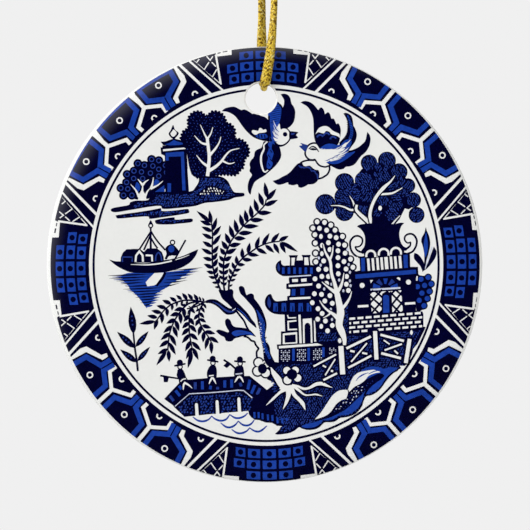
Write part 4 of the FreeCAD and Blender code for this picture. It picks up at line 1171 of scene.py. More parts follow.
def draw_bridge(draw):
    """The bridge: a paved deck, a parapet line and a wall with three cutwaters over the waves."""
    draw.motif = "waves"
    for wave in (at(-12.0, -25.5, -11.2, -26.1, -10.2, -26.25, -9.3, -25.9, -8.85, -25.35),
            at(-8.9, -25.35, -8.2, -25.9, -7.3, -26.15, -6.4, -25.9, -5.8, -25.1),
            at(-5.85, -25.1, -5.0, -25.65, -4.2, -25.7, -3.4, -25.4, -2.8, -24.85),
            at(-7.35, -26.5, -6.5, -27.15, -5.7, -27.25, -4.9, -26.85, -4.35, -26.15),
            at(-4.4, -26.2, -3.7, -26.8, -2.9, -26.95, -2.2, -26.65, -1.7, -26.0),
            at(-5.5, -27.6, -4.7, -28.15, -3.9, -28.25, -3.0, -27.9, -2.45, -27.3),
            at(-2.5, -27.35, -1.7, -27.85, -0.9, -27.95, -0.2, -27.55, 0.4, -27.0)):
        draw.line("cobalt", wave, [0.16, 0.34, 0.34, 0.16])
    draw.motif = "bridge"
    draw.patch("navy", -16.8, -22.5, -14.2, -19.75, -12.8, -19.3, -9.0, -18.95, -5.0, -18.7, -2.5, -18.65,
        -1.0, -19.85, 0.4, -21.0, 0.4, -25.4, -0.4, -26.25, -0.9, -26.05, -1.6, -26.0, -2.2, -25.6,
        -2.6, -25.1, -2.7, -24.5, -8.1, -24.95, -13.4, -25.5, -15.1, -23.9, -15.3, -23.6)
    draw.stipple("violet", at(-14.6, -23.9, -12.5, -22.0, -4.0, -21.5, -1.9, -22.6, -2.4, -24.5,
        -13.3, -25.2), 0.52, 0.17, 8, 5, 1.3, 60)
    draw.stipple("cobalt", at(-11.6, -22.2, -2.4, -21.7, -2.4, -24.0, -11.6, -24.8), 1.0, 0.13, 9, 5, 1.3, 60)
    for number, (u0, v0, u1, v1) in enumerate(at(-15.85, -22.0, -15.2, -22.85, -14.9, -21.1, -14.15, -22.0,
            -14.3, -20.3, -13.9, -20.9, -11.6, -19.7, -11.6, -20.9, -10.4, -19.55, -10.4, -20.9,
            -9.0, -20.3, -9.1, -20.9, -7.85, -20.5, -7.85, -20.9, -6.65, -19.4, -6.65, -20.6, -5.5, -19.25,
            -5.5, -20.6, -4.1, -19.8, -3.9, -20.4, -2.45, -19.3, -2.8, -20.9, -1.6, -20.2, -2.2, -21.6,
            -0.75, -20.7, -1.25, -21.8).reshape(-1, 4)):
        draw.line("cobalt" if number % 3 else "violet", at(u0, v0, u1, v1), 0.48)
    draw.line("pale", at(-15.0, -23.75, -13.8, -22.7, -12.6, -21.65, -9.0, -21.45, -6.5, -21.25,
        -4.5, -21.05, -3.5, -21.1, -2.7, -21.75, -2.05, -22.35), [0.14, 0.18, 0.18], smooth=False)
    for u, top, foot in ((-11.4, -23.45, -25.35), (-7.95, -22.95, -25.1), (-4.3, -22.5, -24.75)):
        draw.line("navy", at(u, top + 0.5, u + 0.1, foot + 0.1), 1.15)
        draw.line(BARE, at(u, top, u + 0.12, foot), [0.5, 0.56])
        draw.dot(BARE, (u, top), 0.25)


def draw_figure(draw, at_head, lean, body, legs):
    """A tiny figure: a wide hat, a plain ring for a face, a coat and two bare legs."""
    u, v = at_head
    draw.blob("navy", *body)
    draw.ring("navy", (u + 0.02, v - 0.1), 0.37, 0.2, BARE)
    draw.dot("navy", (u - 0.02, v + 0.62), (0.52, 0.52))
    tilt = math.radians(lean)
    away = np.array([math.cos(tilt), math.sin(tilt)])
    middle = np.array([u, v + 0.26])
    draw.line("navy", [middle - away * 0.98, middle, middle + away * 0.95], [0.16, 0.34, 0.16])
    for leg in legs:
        draw.line(BARE, at(*leg), [0.34, 0.3, 0.1])


def draw_figures(draw):
    """The three figures that cross the bridge, two of them with a load on a pole."""
    draw.motif = "figures"
    draw.line("navy", at(-17.45, -18.6, -14.4, -19.1), [0.24, 0.18])
    draw.patch("navy", -16.95, -18.75, -16.0, -18.9, -16.2, -19.7, -16.85, -19.7)
    draw_figure(draw, (-14.15, -17.05), 11, (-14.5, -17.6, -13.8, -17.5, -13.4, -18.1, -13.1, -18.9,
        -12.7, -19.6, -13.5, -20.0, -14.2, -20.0, -14.4, -19.2, -14.7, -18.6, -14.6, -18.0),
        ((-13.3, -19.75, -13.55, -20.2, -13.6, -21.0), (-13.5, -19.75, -12.8, -20.1, -12.1, -20.7)))
    draw.line(BARE, at(-14.05, -19.6, -13.7, -19.25, -13.15, -19.1), 0.2)
    draw_figure(draw, (-8.65, -16.4), -10, (-9.0, -16.9, -8.3, -16.9, -8.0, -17.6, -8.0, -18.6, -8.2, -19.3,
        -9.3, -19.3, -9.65, -18.5, -9.5, -17.6), ((-8.75, -18.9, -9.0, -19.3, -9.3, -20.0),
        (-8.75, -18.9, -8.45, -19.3, -8.1, -20.0)))
    draw.line(BARE, at(-9.3, -18.65, -8.5, -18.55), 0.2)
    draw.line("navy", at(-6.85, -15.95, -5.7, -16.7, -4.8, -17.5), 0.24)
    draw.patch("navy", -6.3, -16.35, -5.7, -16.8, -6.3, -17.35, -6.9, -16.95)
    draw_figure(draw, (-4.1, -16.5), -4, (-4.6, -17.0, -3.7, -17.0, -3.45, -17.7, -3.4, -18.6, -3.7, -19.1,
        -4.7, -19.1, -5.1, -18.5, -5.0, -17.5), ((-4.3, -18.75, -4.6, -19.1, -5.0, -19.75),
        (-4.3, -18.75, -3.9, -19.0, -3.5, -19.75)))
    draw.line("pale", at(-4.85, -18.35, -4.2, -18.3, -3.7, -18.2), 0.2)


def draw_ground(draw):
    """The near bank, with its texture of short strokes."""
    draw.motif = "near_bank"
    bank = np.vstack([at(1.0, -16.9, 1.7, -16.3, 2.35, -16.4, 2.35, -13.6, 8.6, -13.3, 8.8, -9.0,
        14.0, -2.6, 25.3, -2.6, 25.3, -7.8, 26.6, -8.2, 26.6, -10.4, 27.0, -10.5, 24.3, -15.9, 23.5, -17.0,
        22.6, -17.5), curve(at(22.3, -17.7, 21.7, -18.0, 21.0, -18.6, 20.4, -19.3, 19.9, -20.0, 19.3, -20.8,
        18.6, -21.4, 17.8, -21.8, 16.95, -22.0, 16.5, -22.8, 16.3, -23.5, 15.9, -24.2, 15.2, -24.9,
        14.3, -25.3, 13.4, -25.5, 12.6, -25.6, 11.9, -26.1, 11.2, -26.3, 10.3, -26.3, 9.8, -26.5,
        9.2, -27.1, 8.4, -27.5, 7.3, -27.6, 6.4, -27.4, 5.9, -27.15, 5.5, -27.3, 5.0, -27.7, 4.2, -28.1,
        3.0, -28.3, 1.85, -28.4)), at(2.5, -27.8, 3.0, -27.0, 2.0, -26.9, 1.2, -26.5, 0.2, -26.45,
        -0.9, -26.05, -1.6, -26.0, -2.4, -24.6, -1.6, -22.0, 0.4, -21.0, 1.6, -20.1, 1.65, -19.8,
        0.4, -19.2, 0.9, -18.0)])
    draw.fill("navy", bank)
    sward = np.vstack([at(1.0, -18.4, 2.5, -16.9, 9.0, -16.4, 9.0, -11.4, 12.2, -11.4, 12.6, -9.0,
        13.8, -5.2, 15.6, -5.2, 15.6, -11.6, 26.2, -10.9, 24.1, -15.9, 23.2, -16.8),
        turned(bank[14:-11], 0, (6.0, -20.0), (0.985, 0.97))])
    draw.stipple("violet", sward, 0.42, 0.125, 11, 4, 1.8, 60, 60)
    for u, v0, v1 in ((0.55, -25.1, -26.1), (1.3, -25.2, -26.2), (2.15, -25.6, -26.6), (2.95, -25.7, -26.6),
            (3.7, -25.7, -26.2), (-0.35, -24.9, -25.9), (-1.0, -24.7, -25.7), (-1.7, -24.7, -25.7)):
        draw.line("cobalt", at(u, v0, u + 0.05, v1), 0.34)
    draw.blob("cobalt", 6.3, -27.0, 7.3, -26.65, 8.6, -26.35, 9.5, -26.05, 9.7, -26.25, 9.0, -26.9,
        8.2, -27.25, 7.2, -27.35, 6.5, -27.25)
    draw.motif = "path"
    draw.blob("cobalt", 15.6, -18.5, 16.6, -17.5, 17.4, -17.15, 18.3, -17.05, 19.2, -17.2, 20.0, -17.45,
        21.0, -17.2, 22.2, -17.35, 21.6, -17.85, 20.8, -18.5, 20.2, -19.2, 19.6, -20.1, 19.0, -20.8,
        18.2, -21.3, 17.3, -21.65, 16.6, -22.0, 16.3, -22.9, 15.8, -23.8, 15.1, -24.5, 14.0, -25.1,
        12.6, -25.25, 11.6, -25.85, 10.6, -26.1, 9.7, -25.95, 10.8, -25.65, 12.0, -25.15, 13.4, -24.4,
        14.6, -23.4, 15.4, -22.5, 16.0, -21.6, 16.6, -21.0, 16.0, -19.5)
    draw.line("navy", at(16.7, -22.0, 17.2, -21.0, 18.2, -20.0, 19.6, -19.1), [0.3, 0.2, 0.1])
    draw.blob("navy", 13.8, -21.0, 16.9, -19.3, 19.0, -18.3, 19.9, -18.4, 19.9, -18.9, 18.6, -19.6,
        17.2, -20.8, 16.2, -21.9, 15.4, -22.6, 13.9, -24.0, 11.6, -25.3, 10.0, -25.9, 8.3, -26.0,
        11.0, -23.4)
    draw.stipple("pale", at(11.6, -24.7, 12.6, -23.0, 14.0, -22.5, 14.9, -20.7, 17.0, -20.0, 15.9, -21.7,
        14.2, -23.4), 0.6, 0.12, 31, 4, 1.4, 60, 60)
    draw.stipple("violet", at(11.0, -25.2, 12.4, -23.4, 14.8, -21.0, 19.0, -18.7, 15.6, -22.3, 13.4, -24.3),
        0.55, 0.1, 32, 5)
    draw.fill(BARE, shape(
        at(8.4, -25.95, 9.5, -24.7, 10.5, -23.2, 11.4, -21.9, 12.4, -21.15, 13.3, -20.98, 13.95, -21.0),
        at(14.3, -20.0, 14.8, -18.9, 15.4, -18.3, 16.0, -18.0, 17.2, -17.75, 18.2, -17.6),
        at(19.4, -18.0, 18.5, -18.2, 17.5, -18.6, 16.8, -19.4, 16.0, -20.0, 15.2, -20.4, 14.5, -21.0,
        14.0, -21.6),
        at(13.75, -22.4, 12.9, -22.7, 12.0, -23.4, 11.3, -24.4, 10.6, -25.1, 9.6, -25.6, 8.4, -25.95)))
    draw.line("navy", at(13.95, -21.0, 14.1, -21.5, 13.8, -22.4), [0.06, 0.16, 0.1])
    draw.line("cobalt", at(15.3, -19.5, 15.8, -18.9, 16.6, -18.4, 17.4, -18.1), [0.06, 0.26, 0.06])
    draw.line("cobalt", at(17.4, -18.35, 18.2, -17.95, 18.9, -17.8), [0.1, 0.16, 0.1])
    draw.patch(BARE, 22.6, -16.95, 23.5, -16.95, 23.0, -17.5)
    draw.patch(BARE, 26.8, -11.3, 25.7, -13.2, 24.9, -14.1, 24.65, -15.2, 24.9, -14.9, 26.4, -12.4)
    draw.line("navy", bank[15:-11], 0.12, smooth=False)
    draw.motif = "roots"
    draw.branches((
        (at(1.05, -17.2, 1.5, -18.1, 2.2, -19.1, 2.8, -20.0, 3.4, -20.6), [0.1, 0.75, 1.0, 1.1, 1.1]),
        (at(2.6, -20.5, 3.6, -20.75, 4.6, -20.5, 5.0, -20.2), [0.7, 1.1, 0.9, 0.4]),
        (at(4.6, -20.2, 5.6, -20.4, 6.6, -20.8, 7.6, -20.6, 8.6, -20.05, 9.6, -19.95, 10.5, -20.3,
        11.35, -20.6), [0.4, 0.38, 0.4, 0.4, 0.55, 0.6, 0.4, 0.06]),
        (at(4.9, -20.4, 5.8, -21.1, 6.7, -21.8, 7.6, -21.85, 8.6, -21.75, 9.7, -22.05),
        [0.5, 0.4, 0.28, 0.2, 0.3, 0.06]),
        (at(4.4, -20.6, 5.0, -21.8, 5.8, -22.6, 6.4, -23.3, 6.85, -24.35), [0.9, 0.65, 0.6, 0.65, 0.08]),
        (at(4.0, -20.6, 4.0, -21.8, 3.7, -22.9, 3.1, -24.25), [1.0, 0.75, 0.5, 0.06]),
        (at(3.6, -20.8, 2.6, -21.4, 1.4, -22.5, 0.25, -23.6), [0.7, 0.4, 0.4, 0.06])), 0.24)
    draw.line(BARE, at(2.2, -19.3, 3.0, -20.3, 4.2, -20.7), [0.8, 1.0, 0.9])
    draw.motif = "blossoms"
    for core, size, petals in (((-0.35, -17.45), (0.76, 0.86), ((-1.0, -16.4, 0.68), (0.25, -16.65, 0.62),
            (-1.15, -17.85, 0.72), (0.2, -18.15, 0.7))), ((4.6, -18.4), (0.9, 0.9),
            ((3.75, -17.75, 0.62), (5.15, -17.7, 0.6), (5.55, -19.0, 0.62), (3.85, -19.35, 0.66)))):
        for edge, ink in ((0.26, "navy"), (0.0, BARE)):
            for u, v, radius in petals:
                draw.dot(ink, (u, v), radius + edge)
        draw.dot("navy", core, size)
        for u, v, radius in petals:
            draw.dot("navy", ((u + core[0]) / 2 + (v - core[1]) * 0.62,
                (v + core[1]) / 2 - (u - core[0]) * 0.62), 0.16, 6)


def rails(draw, numbers):
    """Straight bare bars with navy margins, each given as its two ends and its width."""
    for u0, v0, u1, v1, width in np.reshape(numbers, (-1, 5)):
        path = at(u0, v0, u1, v1)
        step = (path[1] - path[0]) / np.linalg.norm(path[1] - path[0]) * RAIL_MARGIN
        draw.line("navy", [path[0] - step, path[1] + step], width + 2 * RAIL_MARGIN)
    for u0, v0, u1, v1, width in np.reshape(numbers, (-1, 5)):
        draw.line(BARE, at(u0, v0, u1, v1), width)


def draw_fence(draw):
    """The fence that zigzags across the bank."""
    draw.motif = "fence"
    rails(draw, (
        8.2, -17.05, 12.0, -15.05, 0.3, 9.75, -16.9, 10.3, -17.2, 0.28, 11.85, -15.8, 10.15, -18.55, 0.24,
        11.1, -17.8, 11.5, -17.85, 0.34, 9.85, -19.35, 12.15, -18.2, 0.34, 13.7, -14.05, 17.8, -12.05, 0.42,
        14.0, -17.3, 17.9, -15.25, 0.36, 17.15, -13.15, 14.5, -16.3, 0.26, 14.35, -14.45, 15.1, -14.6, 0.34,
        16.35, -14.8, 17.2, -14.95, 0.32, 19.4, -11.75, 23.35, -12.8, 0.4, 19.95, -12.65, 20.95, -13.35, 0.24,
        20.1, -14.35, 23.0, -13.3, 0.3, 21.75, -14.4, 22.35, -14.95, 0.28, 19.55, -14.85, 22.85, -15.7, 0.42))
    rails(draw, (12.78, -13.65, 13.1, -18.4, 0.85, 18.5, -11.15, 18.75, -15.9, 0.68, 24.3, -12.45,
        23.65, -16.5, 0.66))


def draw_pagoda(draw):
    """The pagoda: two curled tiled roofs over two rows of windows, a storey and a terrace."""
    draw.motif = "pagoda"
    draw.patch("navy", 3.35, -8.2, 9.2, -8.4, 9.2, -13.4, 2.75, -13.5, 2.75, -11.2, 3.45, -11.2)
    draw.patch("navy", 4.25, -1.8, 9.4, -1.6, 9.4, -6.2, 3.8, -6.1, 3.8, -5.3, 4.25, -5.2, 4.3, -4.15,
        3.65, -4.1, 3.65, -3.2, 4.15, -3.1, 4.05, -2.4)
    for left, right, top, lean in ((4.05, 5.6, 1.55, -0.1), (6.2, 7.75, 1.6, 0.25)):
        middle = (left + right) / 2
        draw.patch("navy", left, top, right, top + 0.02, middle + 0.6, top - 0.5, middle + 0.5 + lean, -0.2,
            middle - 0.6, -0.2, middle - 0.55, top - 0.5)
        draw.patch(BARE, middle - 0.32, top - 0.42, middle + 0.3, top - 0.4, middle + 0.22 + lean, -0.15,
            middle - 0.3, -0.15)
    draw.patch("navy", 5.2, 0.68, 6.65, 0.72, 6.65, -0.2, 5.2, -0.2)
    draw.fill("navy", shape(
        at(2.7, 0.75, 2.2, 0.4, 1.9, -0.1, 1.9, -0.8, 2.2, -1.4, 2.8, -1.8, 3.7, -1.95, 8.9, -1.7),
        at(8.9, -0.2, 4.2, -0.15, 3.3, -0.2, 2.85, 0.1, 2.8, 0.55, 2.7, 0.75)))
    draw.fill("navy", shape(
        at(1.1, -4.95, 0.7, -5.0, 0.3, -5.4, 0.05, -6.1, 0.15, -6.9, 0.6, -7.6, 1.3, -8.1, 2.3, -8.35,
        5.0, -8.45, 9.4, -8.6),
        at(9.4, -6.0, 4.0, -6.0, 2.1, -6.15, 1.5, -5.8, 1.25, -5.3, 1.1, -4.95)))
    draw.leaf("violet", (2.45, -1.2), (2.3, 0.3), 0.44)
    draw.leaf("violet", (0.85, -7.3), (0.7, -5.3), 0.6)
    for number in range(6):
        u = 3.15 + 0.94 * number
        draw.line("cobalt", at(u, -0.5, u, -1.55), [0.42, 0.52, 0.44])
    for number in range(5):
        u = 1.85 + 1.4 * number
        draw.line("cobalt", at(u, -6.45, u, -7.85), [0.74, 0.86, 0.8])
        draw.line("navy", at(u + 0.1, -7.0, u + 0.1, -7.8), [0.05, 0.1])
    draw.line("pale", at(4.15, -2.05, 7.8, -1.8), 0.2)
    draw.patch(BARE, 4.65, -2.95, 4.6, -2.45, 5.6, -2.4, 5.6, -2.9)
    draw.patch(BARE, 6.15, -2.9, 6.1, -2.4, 7.05, -2.3, 7.05, -2.85)
    draw.line(BARE, at(4.05, -3.58, 8.25, -3.3), 0.36)
    draw.patch("cobalt", 4.5, -5.2, 4.6, -4.1, 5.2, -4.1, 5.15, -5.2)
    draw.patch("cobalt", 6.0, -5.1, 6.0, -4.0, 6.7, -4.0, 6.65, -5.1)
    draw.line(BARE, at(4.2, -5.72, 7.75, -5.55), 0.36)
    draw.bar(BARE, at(3.85, -8.45, 4.0, -8.95, 5.3, -8.9), 0.2)
    draw.bar(BARE, at(5.35, -9.4, 3.95, -9.55, 4.0, -10.9, 5.45, -10.85), 0.26)
    draw.patch(BARE, 3.05, -11.55, 5.45, -11.3, 5.5, -13.2, 3.05, -13.35)
    draw.patch("navy", 3.35, -11.85, 5.2, -11.7, 5.25, -13.0, 3.4, -13.1)
    draw.line(BARE, at(5.85, -8.4, 6.05, -13.2), 0.4)
    draw.patch(BARE, 6.4, -9.1, 7.9, -9.0, 8.05, -13.1, 6.45, -13.2)
    draw.fill("navy", np.vstack([arc((7.2, -10.35), (0.5, 0.6), 0, 180), at(6.75, -13.2, 7.75, -13.15)]))
    draw.line(BARE, at(8.35, -9.4, 8.5, -12.9), [0.2, 0.36])
    draw.patch("navy", 2.05, -13.4, 2.15, -14.2, 2.5, -14.3, 12.3, -13.6, 12.3, -12.9)
    draw.patch(BARE, 2.4, -13.65, 12.15, -12.95, 12.1, -13.35, 2.4, -14.05)
    draw.patch("navy", 2.35, -14.2, 12.3, -13.55, 12.3, -15.1, 9.9, -16.4, 2.4, -16.6)
    for left in (2.75, 5.45, 8.15, 10.85):
        lift = (left - 2.75) * 0.05
        for row in range(7):
            for column in range(5):
                u, v = left + 0.32 * column, -14.35 + lift - 0.29 * row
                if (row * 3 + column * 2 + int(left)) % 4 and v > -16.9 + 0.6 * max(0, u - 8.5):
                    draw.patch("pale", u, v, u + 0.2, v, u + 0.18, v - 0.15, u, v - 0.15)
    for u in (4.85, 7.4, 9.85):
        draw.line("cobalt", at(u, -14.1 + 0.05 * (u - 4.85), u, -16.1 + 0.25 * max(0, u - 7.4)), 0.42)


def draw_gate(draw):
    """The gate house: curled finials, a balustrade, a beam, latticed windows and a brick plinth."""
    draw.motif = "gate_house"
    draw.patch("navy", 14.1, -1.2, 16.0, -1.0, 15.9, 1.35, 17.1, 1.45, 23.0, 2.1, 24.35, 1.85, 24.4, -0.4,
        25.7, -0.4, 25.7, -1.9, 25.35, -2.2, 25.35, -7.7, 26.5, -7.9, 26.6, -11.0, 14.0, -12.0, 14.0, -2.6)
    draw.fill("navy", shape(
        at(15.45, 6.35, 15.9, 6.65, 16.7, 6.8, 18.2, 6.9, 21.0, 6.8, 22.0, 6.75),
        at(22.7, 7.0, 23.4, 6.95),
        at(22.9, 6.4, 22.6, 5.5, 22.6, 4.6, 22.8, 3.8, 23.2, 3.1, 23.9, 2.6, 23.1, 1.7),
        at(20.0, 1.2, 16.6, 1.2),
        at(16.2, 2.2, 16.7, 3.0, 16.85, 4.0, 16.75, 4.9, 16.4, 5.6, 15.9, 6.1, 15.45, 6.35)))
    for loop in (at(15.15, 3.0, 15.6, 2.95, 16.1, 3.2, 16.4, 3.8, 16.3, 4.4, 15.8, 4.75, 15.2, 4.75,
            14.7, 4.4, 14.35, 3.8, 14.35, 3.0, 14.6, 2.2, 15.1, 1.6, 15.7, 1.25, 16.4, 1.2),
            at(24.5, 3.75, 24.0, 3.6, 23.6, 3.9, 23.45, 4.3, 23.6, 4.8, 24.1, 5.1, 24.7, 5.1, 25.2, 4.7,
            25.5, 4.0, 25.4, 3.2, 25.0, 2.4, 24.5, 2.0, 23.9, 1.85),
            at(15.15, 3.0, 15.4, 2.5, 15.8, 2.2, 16.3, 2.05, 16.9, 2.0),
            at(24.45, 3.8, 24.4, 3.2, 24.0, 2.8, 23.5, 2.5, 23.0, 2.5)):
        draw.line("navy", loop, [0.16, 0.26, 0.24])
    draw.line(BARE, at(14.75, 2.9, 15.0, 2.2, 15.5, 1.75, 16.2, 1.55, 16.65, 1.65), [0.3, 0.36, 0.4])
    draw.line(BARE, at(24.9, 3.2, 24.6, 2.6, 24.1, 2.2, 23.4, 2.15), [0.36, 0.34, 0.3])
    for u, v, radius in ((17.8, 1.5, 0.75), (19.95, 1.75, 0.82), (22.0, 1.9, 0.84)):
        draw.line(BARE, np.vstack([(u + radius, v - 0.25), arc((u, v + 0.05), radius, 0, 180, 10),
            (u - radius, v - 0.25)]), 0.36)
        draw.line(BARE, at(u - 1.15, v - 0.45, u - 1.0, v - 0.43), 0.1)
    draw.patch("cobalt", 16.15, 1.1, 16.8, 1.1, 16.85, -1.1, 16.25, -1.15)
    draw.patch("cobalt", 23.25, 1.6, 23.95, 1.65, 24.0, -0.55, 23.35, -0.6)
    draw.patch(BARE, 15.0, 1.2, 15.65, 1.3, 15.85, -1.0, 15.3, -1.15, 15.5, 0.2)
    for u, top, width in ((17.42, 1.05, 0.42), (18.18, 1.1, 0.42), (18.95, 1.2, 0.42), (19.65, 1.25, 0.42),
            (20.4, 1.32, 0.58), (21.22, 1.38, 0.42), (21.95, 1.42, 0.42), (22.72, 1.5, 0.44)):
        draw.line(BARE, at(u - 0.08, top - 0.05, u + 0.08, top - 2.1), width)
    draw.patch("navy", 14.5, -1.45, 25.7, -0.55, 25.8, -2.05, 14.5, -2.75)
    draw.patch("cobalt", 14.7, -1.72, 25.35, -0.85, 25.4, -1.55, 14.7, -2.42)
    for u, v in ((16.35, -3.5), (24.1, -2.95)):
        draw.dot(BARE, (u, v), 0.43)
    draw.line(BARE, at(15.6, -7.02, 17.4, -6.92), 0.4)
    draw.line(BARE, at(23.5, -6.55, 25.25, -6.45), 0.4)
    draw.line(BARE, at(25.55, -1.95, 25.5, -2.7), 0.24)
    draw.patch(BARE, 17.65, -2.6, 18.2, -2.6, 17.8, -3.15)
    draw.patch(BARE, 22.1, -2.3, 22.4, -2.1, 22.75, -2.3, 22.7, -2.7)
    for number, degrees in enumerate((165, 128, 90, 52, 15)):
        way = turned([(0.95, 0.0), (2.25, 0.0)], degrees) * (0.95, 0.72) + (20.25, -3.95)
        draw.line("violet" if number % 2 else "cobalt", way, [0.3, 0.78])
    draw.line("pale", at(17.75, -4.22, 22.75, -3.92), 0.3)
    draw.patch(BARE, 17.7, -4.7, 19.9, -4.5, 20.4, -4.45, 19.7, -4.9, 19.65, -8.05, 17.95, -8.2)
    draw.patch(BARE, 20.7, -4.5, 22.9, -4.3, 23.15, -7.7, 22.9, -7.9, 21.4, -7.95, 21.3, -5.0)
    for u0, v0, u1, v1 in at(17.5, -5.0, 18.2, -4.3, 17.6, -6.5, 19.7, -4.2, 17.8, -8.3, 19.8, -6.0,
            18.9, -8.6, 19.7, -7.7, 17.6, -5.2, 19.7, -7.1, 18.6, -4.5, 19.7, -5.5, 17.8, -6.9, 19.5, -8.5,
            20.9, -5.2, 22.0, -4.2, 21.2, -6.9, 23.1, -4.5, 21.5, -8.3, 23.3, -6.0, 21.0, -4.6, 23.2, -6.8,
            21.9, -4.2, 23.1, -5.2, 21.2, -6.6, 22.7, -8.1).reshape(-1, 4):
        draw.line("navy", at(u0, v0, u1, v1), 0.24)
    draw.fill("navy", np.vstack([arc((20.4, -5.3), (0.78, 0.72), 0, 180), at(19.6, -8.4, 21.3, -8.25)]))
    draw.fill("cobalt", np.vstack([arc((20.35, -5.5), (0.5, 0.42), 0, 180), at(19.85, -8.1, 20.9, -8.05)]))
    draw.blob(BARE, 24.6, -10.95, 24.85, -11.4, 24.6, -11.8, 24.35, -11.4)
    for row in range(4):
        for number in range(10):
            left = 14.2 + 1.37 * number - (0.7 if row % 2 else 0.0)
            start, end = max(left, 14.2), min(left + 0.98, 26.4)
            if end - start > 0.2 and not (row == 3 and 17.0 < start < 18.6):
                slope = 0.083
                v = -8.93 - 0.74 * row
                draw.patch(BARE, start, v + slope * (start - 14), end, v + slope * (end - 14), end,
                    v - 0.38 + slope * (end - 14), start, v - 0.38 + slope * (start - 14))


def draw_orange_tree(draw):
    """The broad tree behind the gate house: balls of leaves, shaded with strokes, and bare branches."""
    draw.motif = "orange_tree"
    draw.blob("navy", 11.9, 10.4, 12.4, 12.6, 14.9, 13.4, 16.2, 15.9, 18.8, 16.8, 22.0, 16.0, 23.6, 13.4,
        25.1, 10.4, 24.3, 9.3, 23.4, 9.0, 22.8, 7.9, 21.8, 6.5, 18.0, 6.4, 16.2, 8.4, 15.0, 8.6, 12.0, 9.2)
    balls = ((17.5, 17.0, 1.4, 100), (20.5, 17.4, 1.5, 110), (22.5, 15.5, 1.45, 80), (24.0, 13.2, 1.25, 60),
        (19.7, 15.0, 1.5, 130), (16.6, 14.1, 1.5, 130), (13.4, 13.7, 1.62, 110), (13.3, 11.3, 1.6, 140),
        (10.2, 10.1, 1.72, 100), (13.4, 8.8, 1.55, 150), (17.2, 11.6, 1.45, 70), (24.9, 10.8, 1.3, 90),
        (25.45, 8.3, 1.35, 60), (21.9, 10.0, 1.4, 120), (21.3, 8.3, 1.3, 130), (21.7, 12.9, 1.15, 30),
        (22.0, 11.5, 1.15, 20), (16.4, 9.2, 1.05, 90), (19.8, 10.6, 1.1, 80), (19.0, 8.6, 0.9, 80),
        (15.5, 11.6, 0.95, 60), (22.9, 14.0, 0.9, 80), (15.0, 12.7, 0.9, 40), (18.4, 13.4, 1.0, 80),
        (19.0, 16.2, 0.9, 100), (23.4, 11.9, 0.9, 50))
    for number, (u, v, radius, lean) in enumerate(balls):
        draw.dot("navy", (u, v), radius)
        draw.stipple("violet", arc((u, v), radius - 0.16), 0.4, 0.115, number + 40, 4, 2.3, lean, 25)
    edged(draw, at(21.2, 6.55, 22.0, 7.5, 22.7, 8.2), [0.3, 0.12], 0.14)
    draw.patch(BARE, 21.95, 6.85, 22.6, 7.6, 23.0, 8.4, 23.5, 9.4, 24.2, 9.2, 24.1, 7.6, 23.3, 7.0)
    edged(draw, at(11.1, 9.85, 12.4, 9.85, 13.4, 9.6, 14.4, 9.15, 15.3, 9.2), [0.1, 0.26, 0.4], 0.16)
    edged(draw, at(14.25, 11.5, 14.6, 10.9, 14.9, 10.3, 15.1, 9.4), [0.08, 0.26, 0.36], 0.16)
    edged(draw, at(15.45, 10.0, 15.35, 9.2, 15.9, 8.5, 16.8, 7.7, 17.9, 6.7), [0.4, 0.5, 0.62, 0.7], 0.22)
    edged(draw, at(19.2, 11.75, 20.2, 11.8, 21.4, 11.95, 22.4, 12.45, 23.1, 12.85), [0.36, 0.34, 0.12], 0.16)
    edged(draw, at(17.85, 6.3, 17.75, 7.3, 17.65, 8.4, 17.9, 9.6, 18.4, 10.8, 19.1, 11.9, 20.1, 13.0,
        21.1, 13.9, 21.85, 14.9), [0.2, 0.55, 0.5, 0.5, 0.5, 0.6, 0.34, 0.1], 0.16)
    draw.dot(BARE, (19.35, 9.45), (0.32, 0.4))


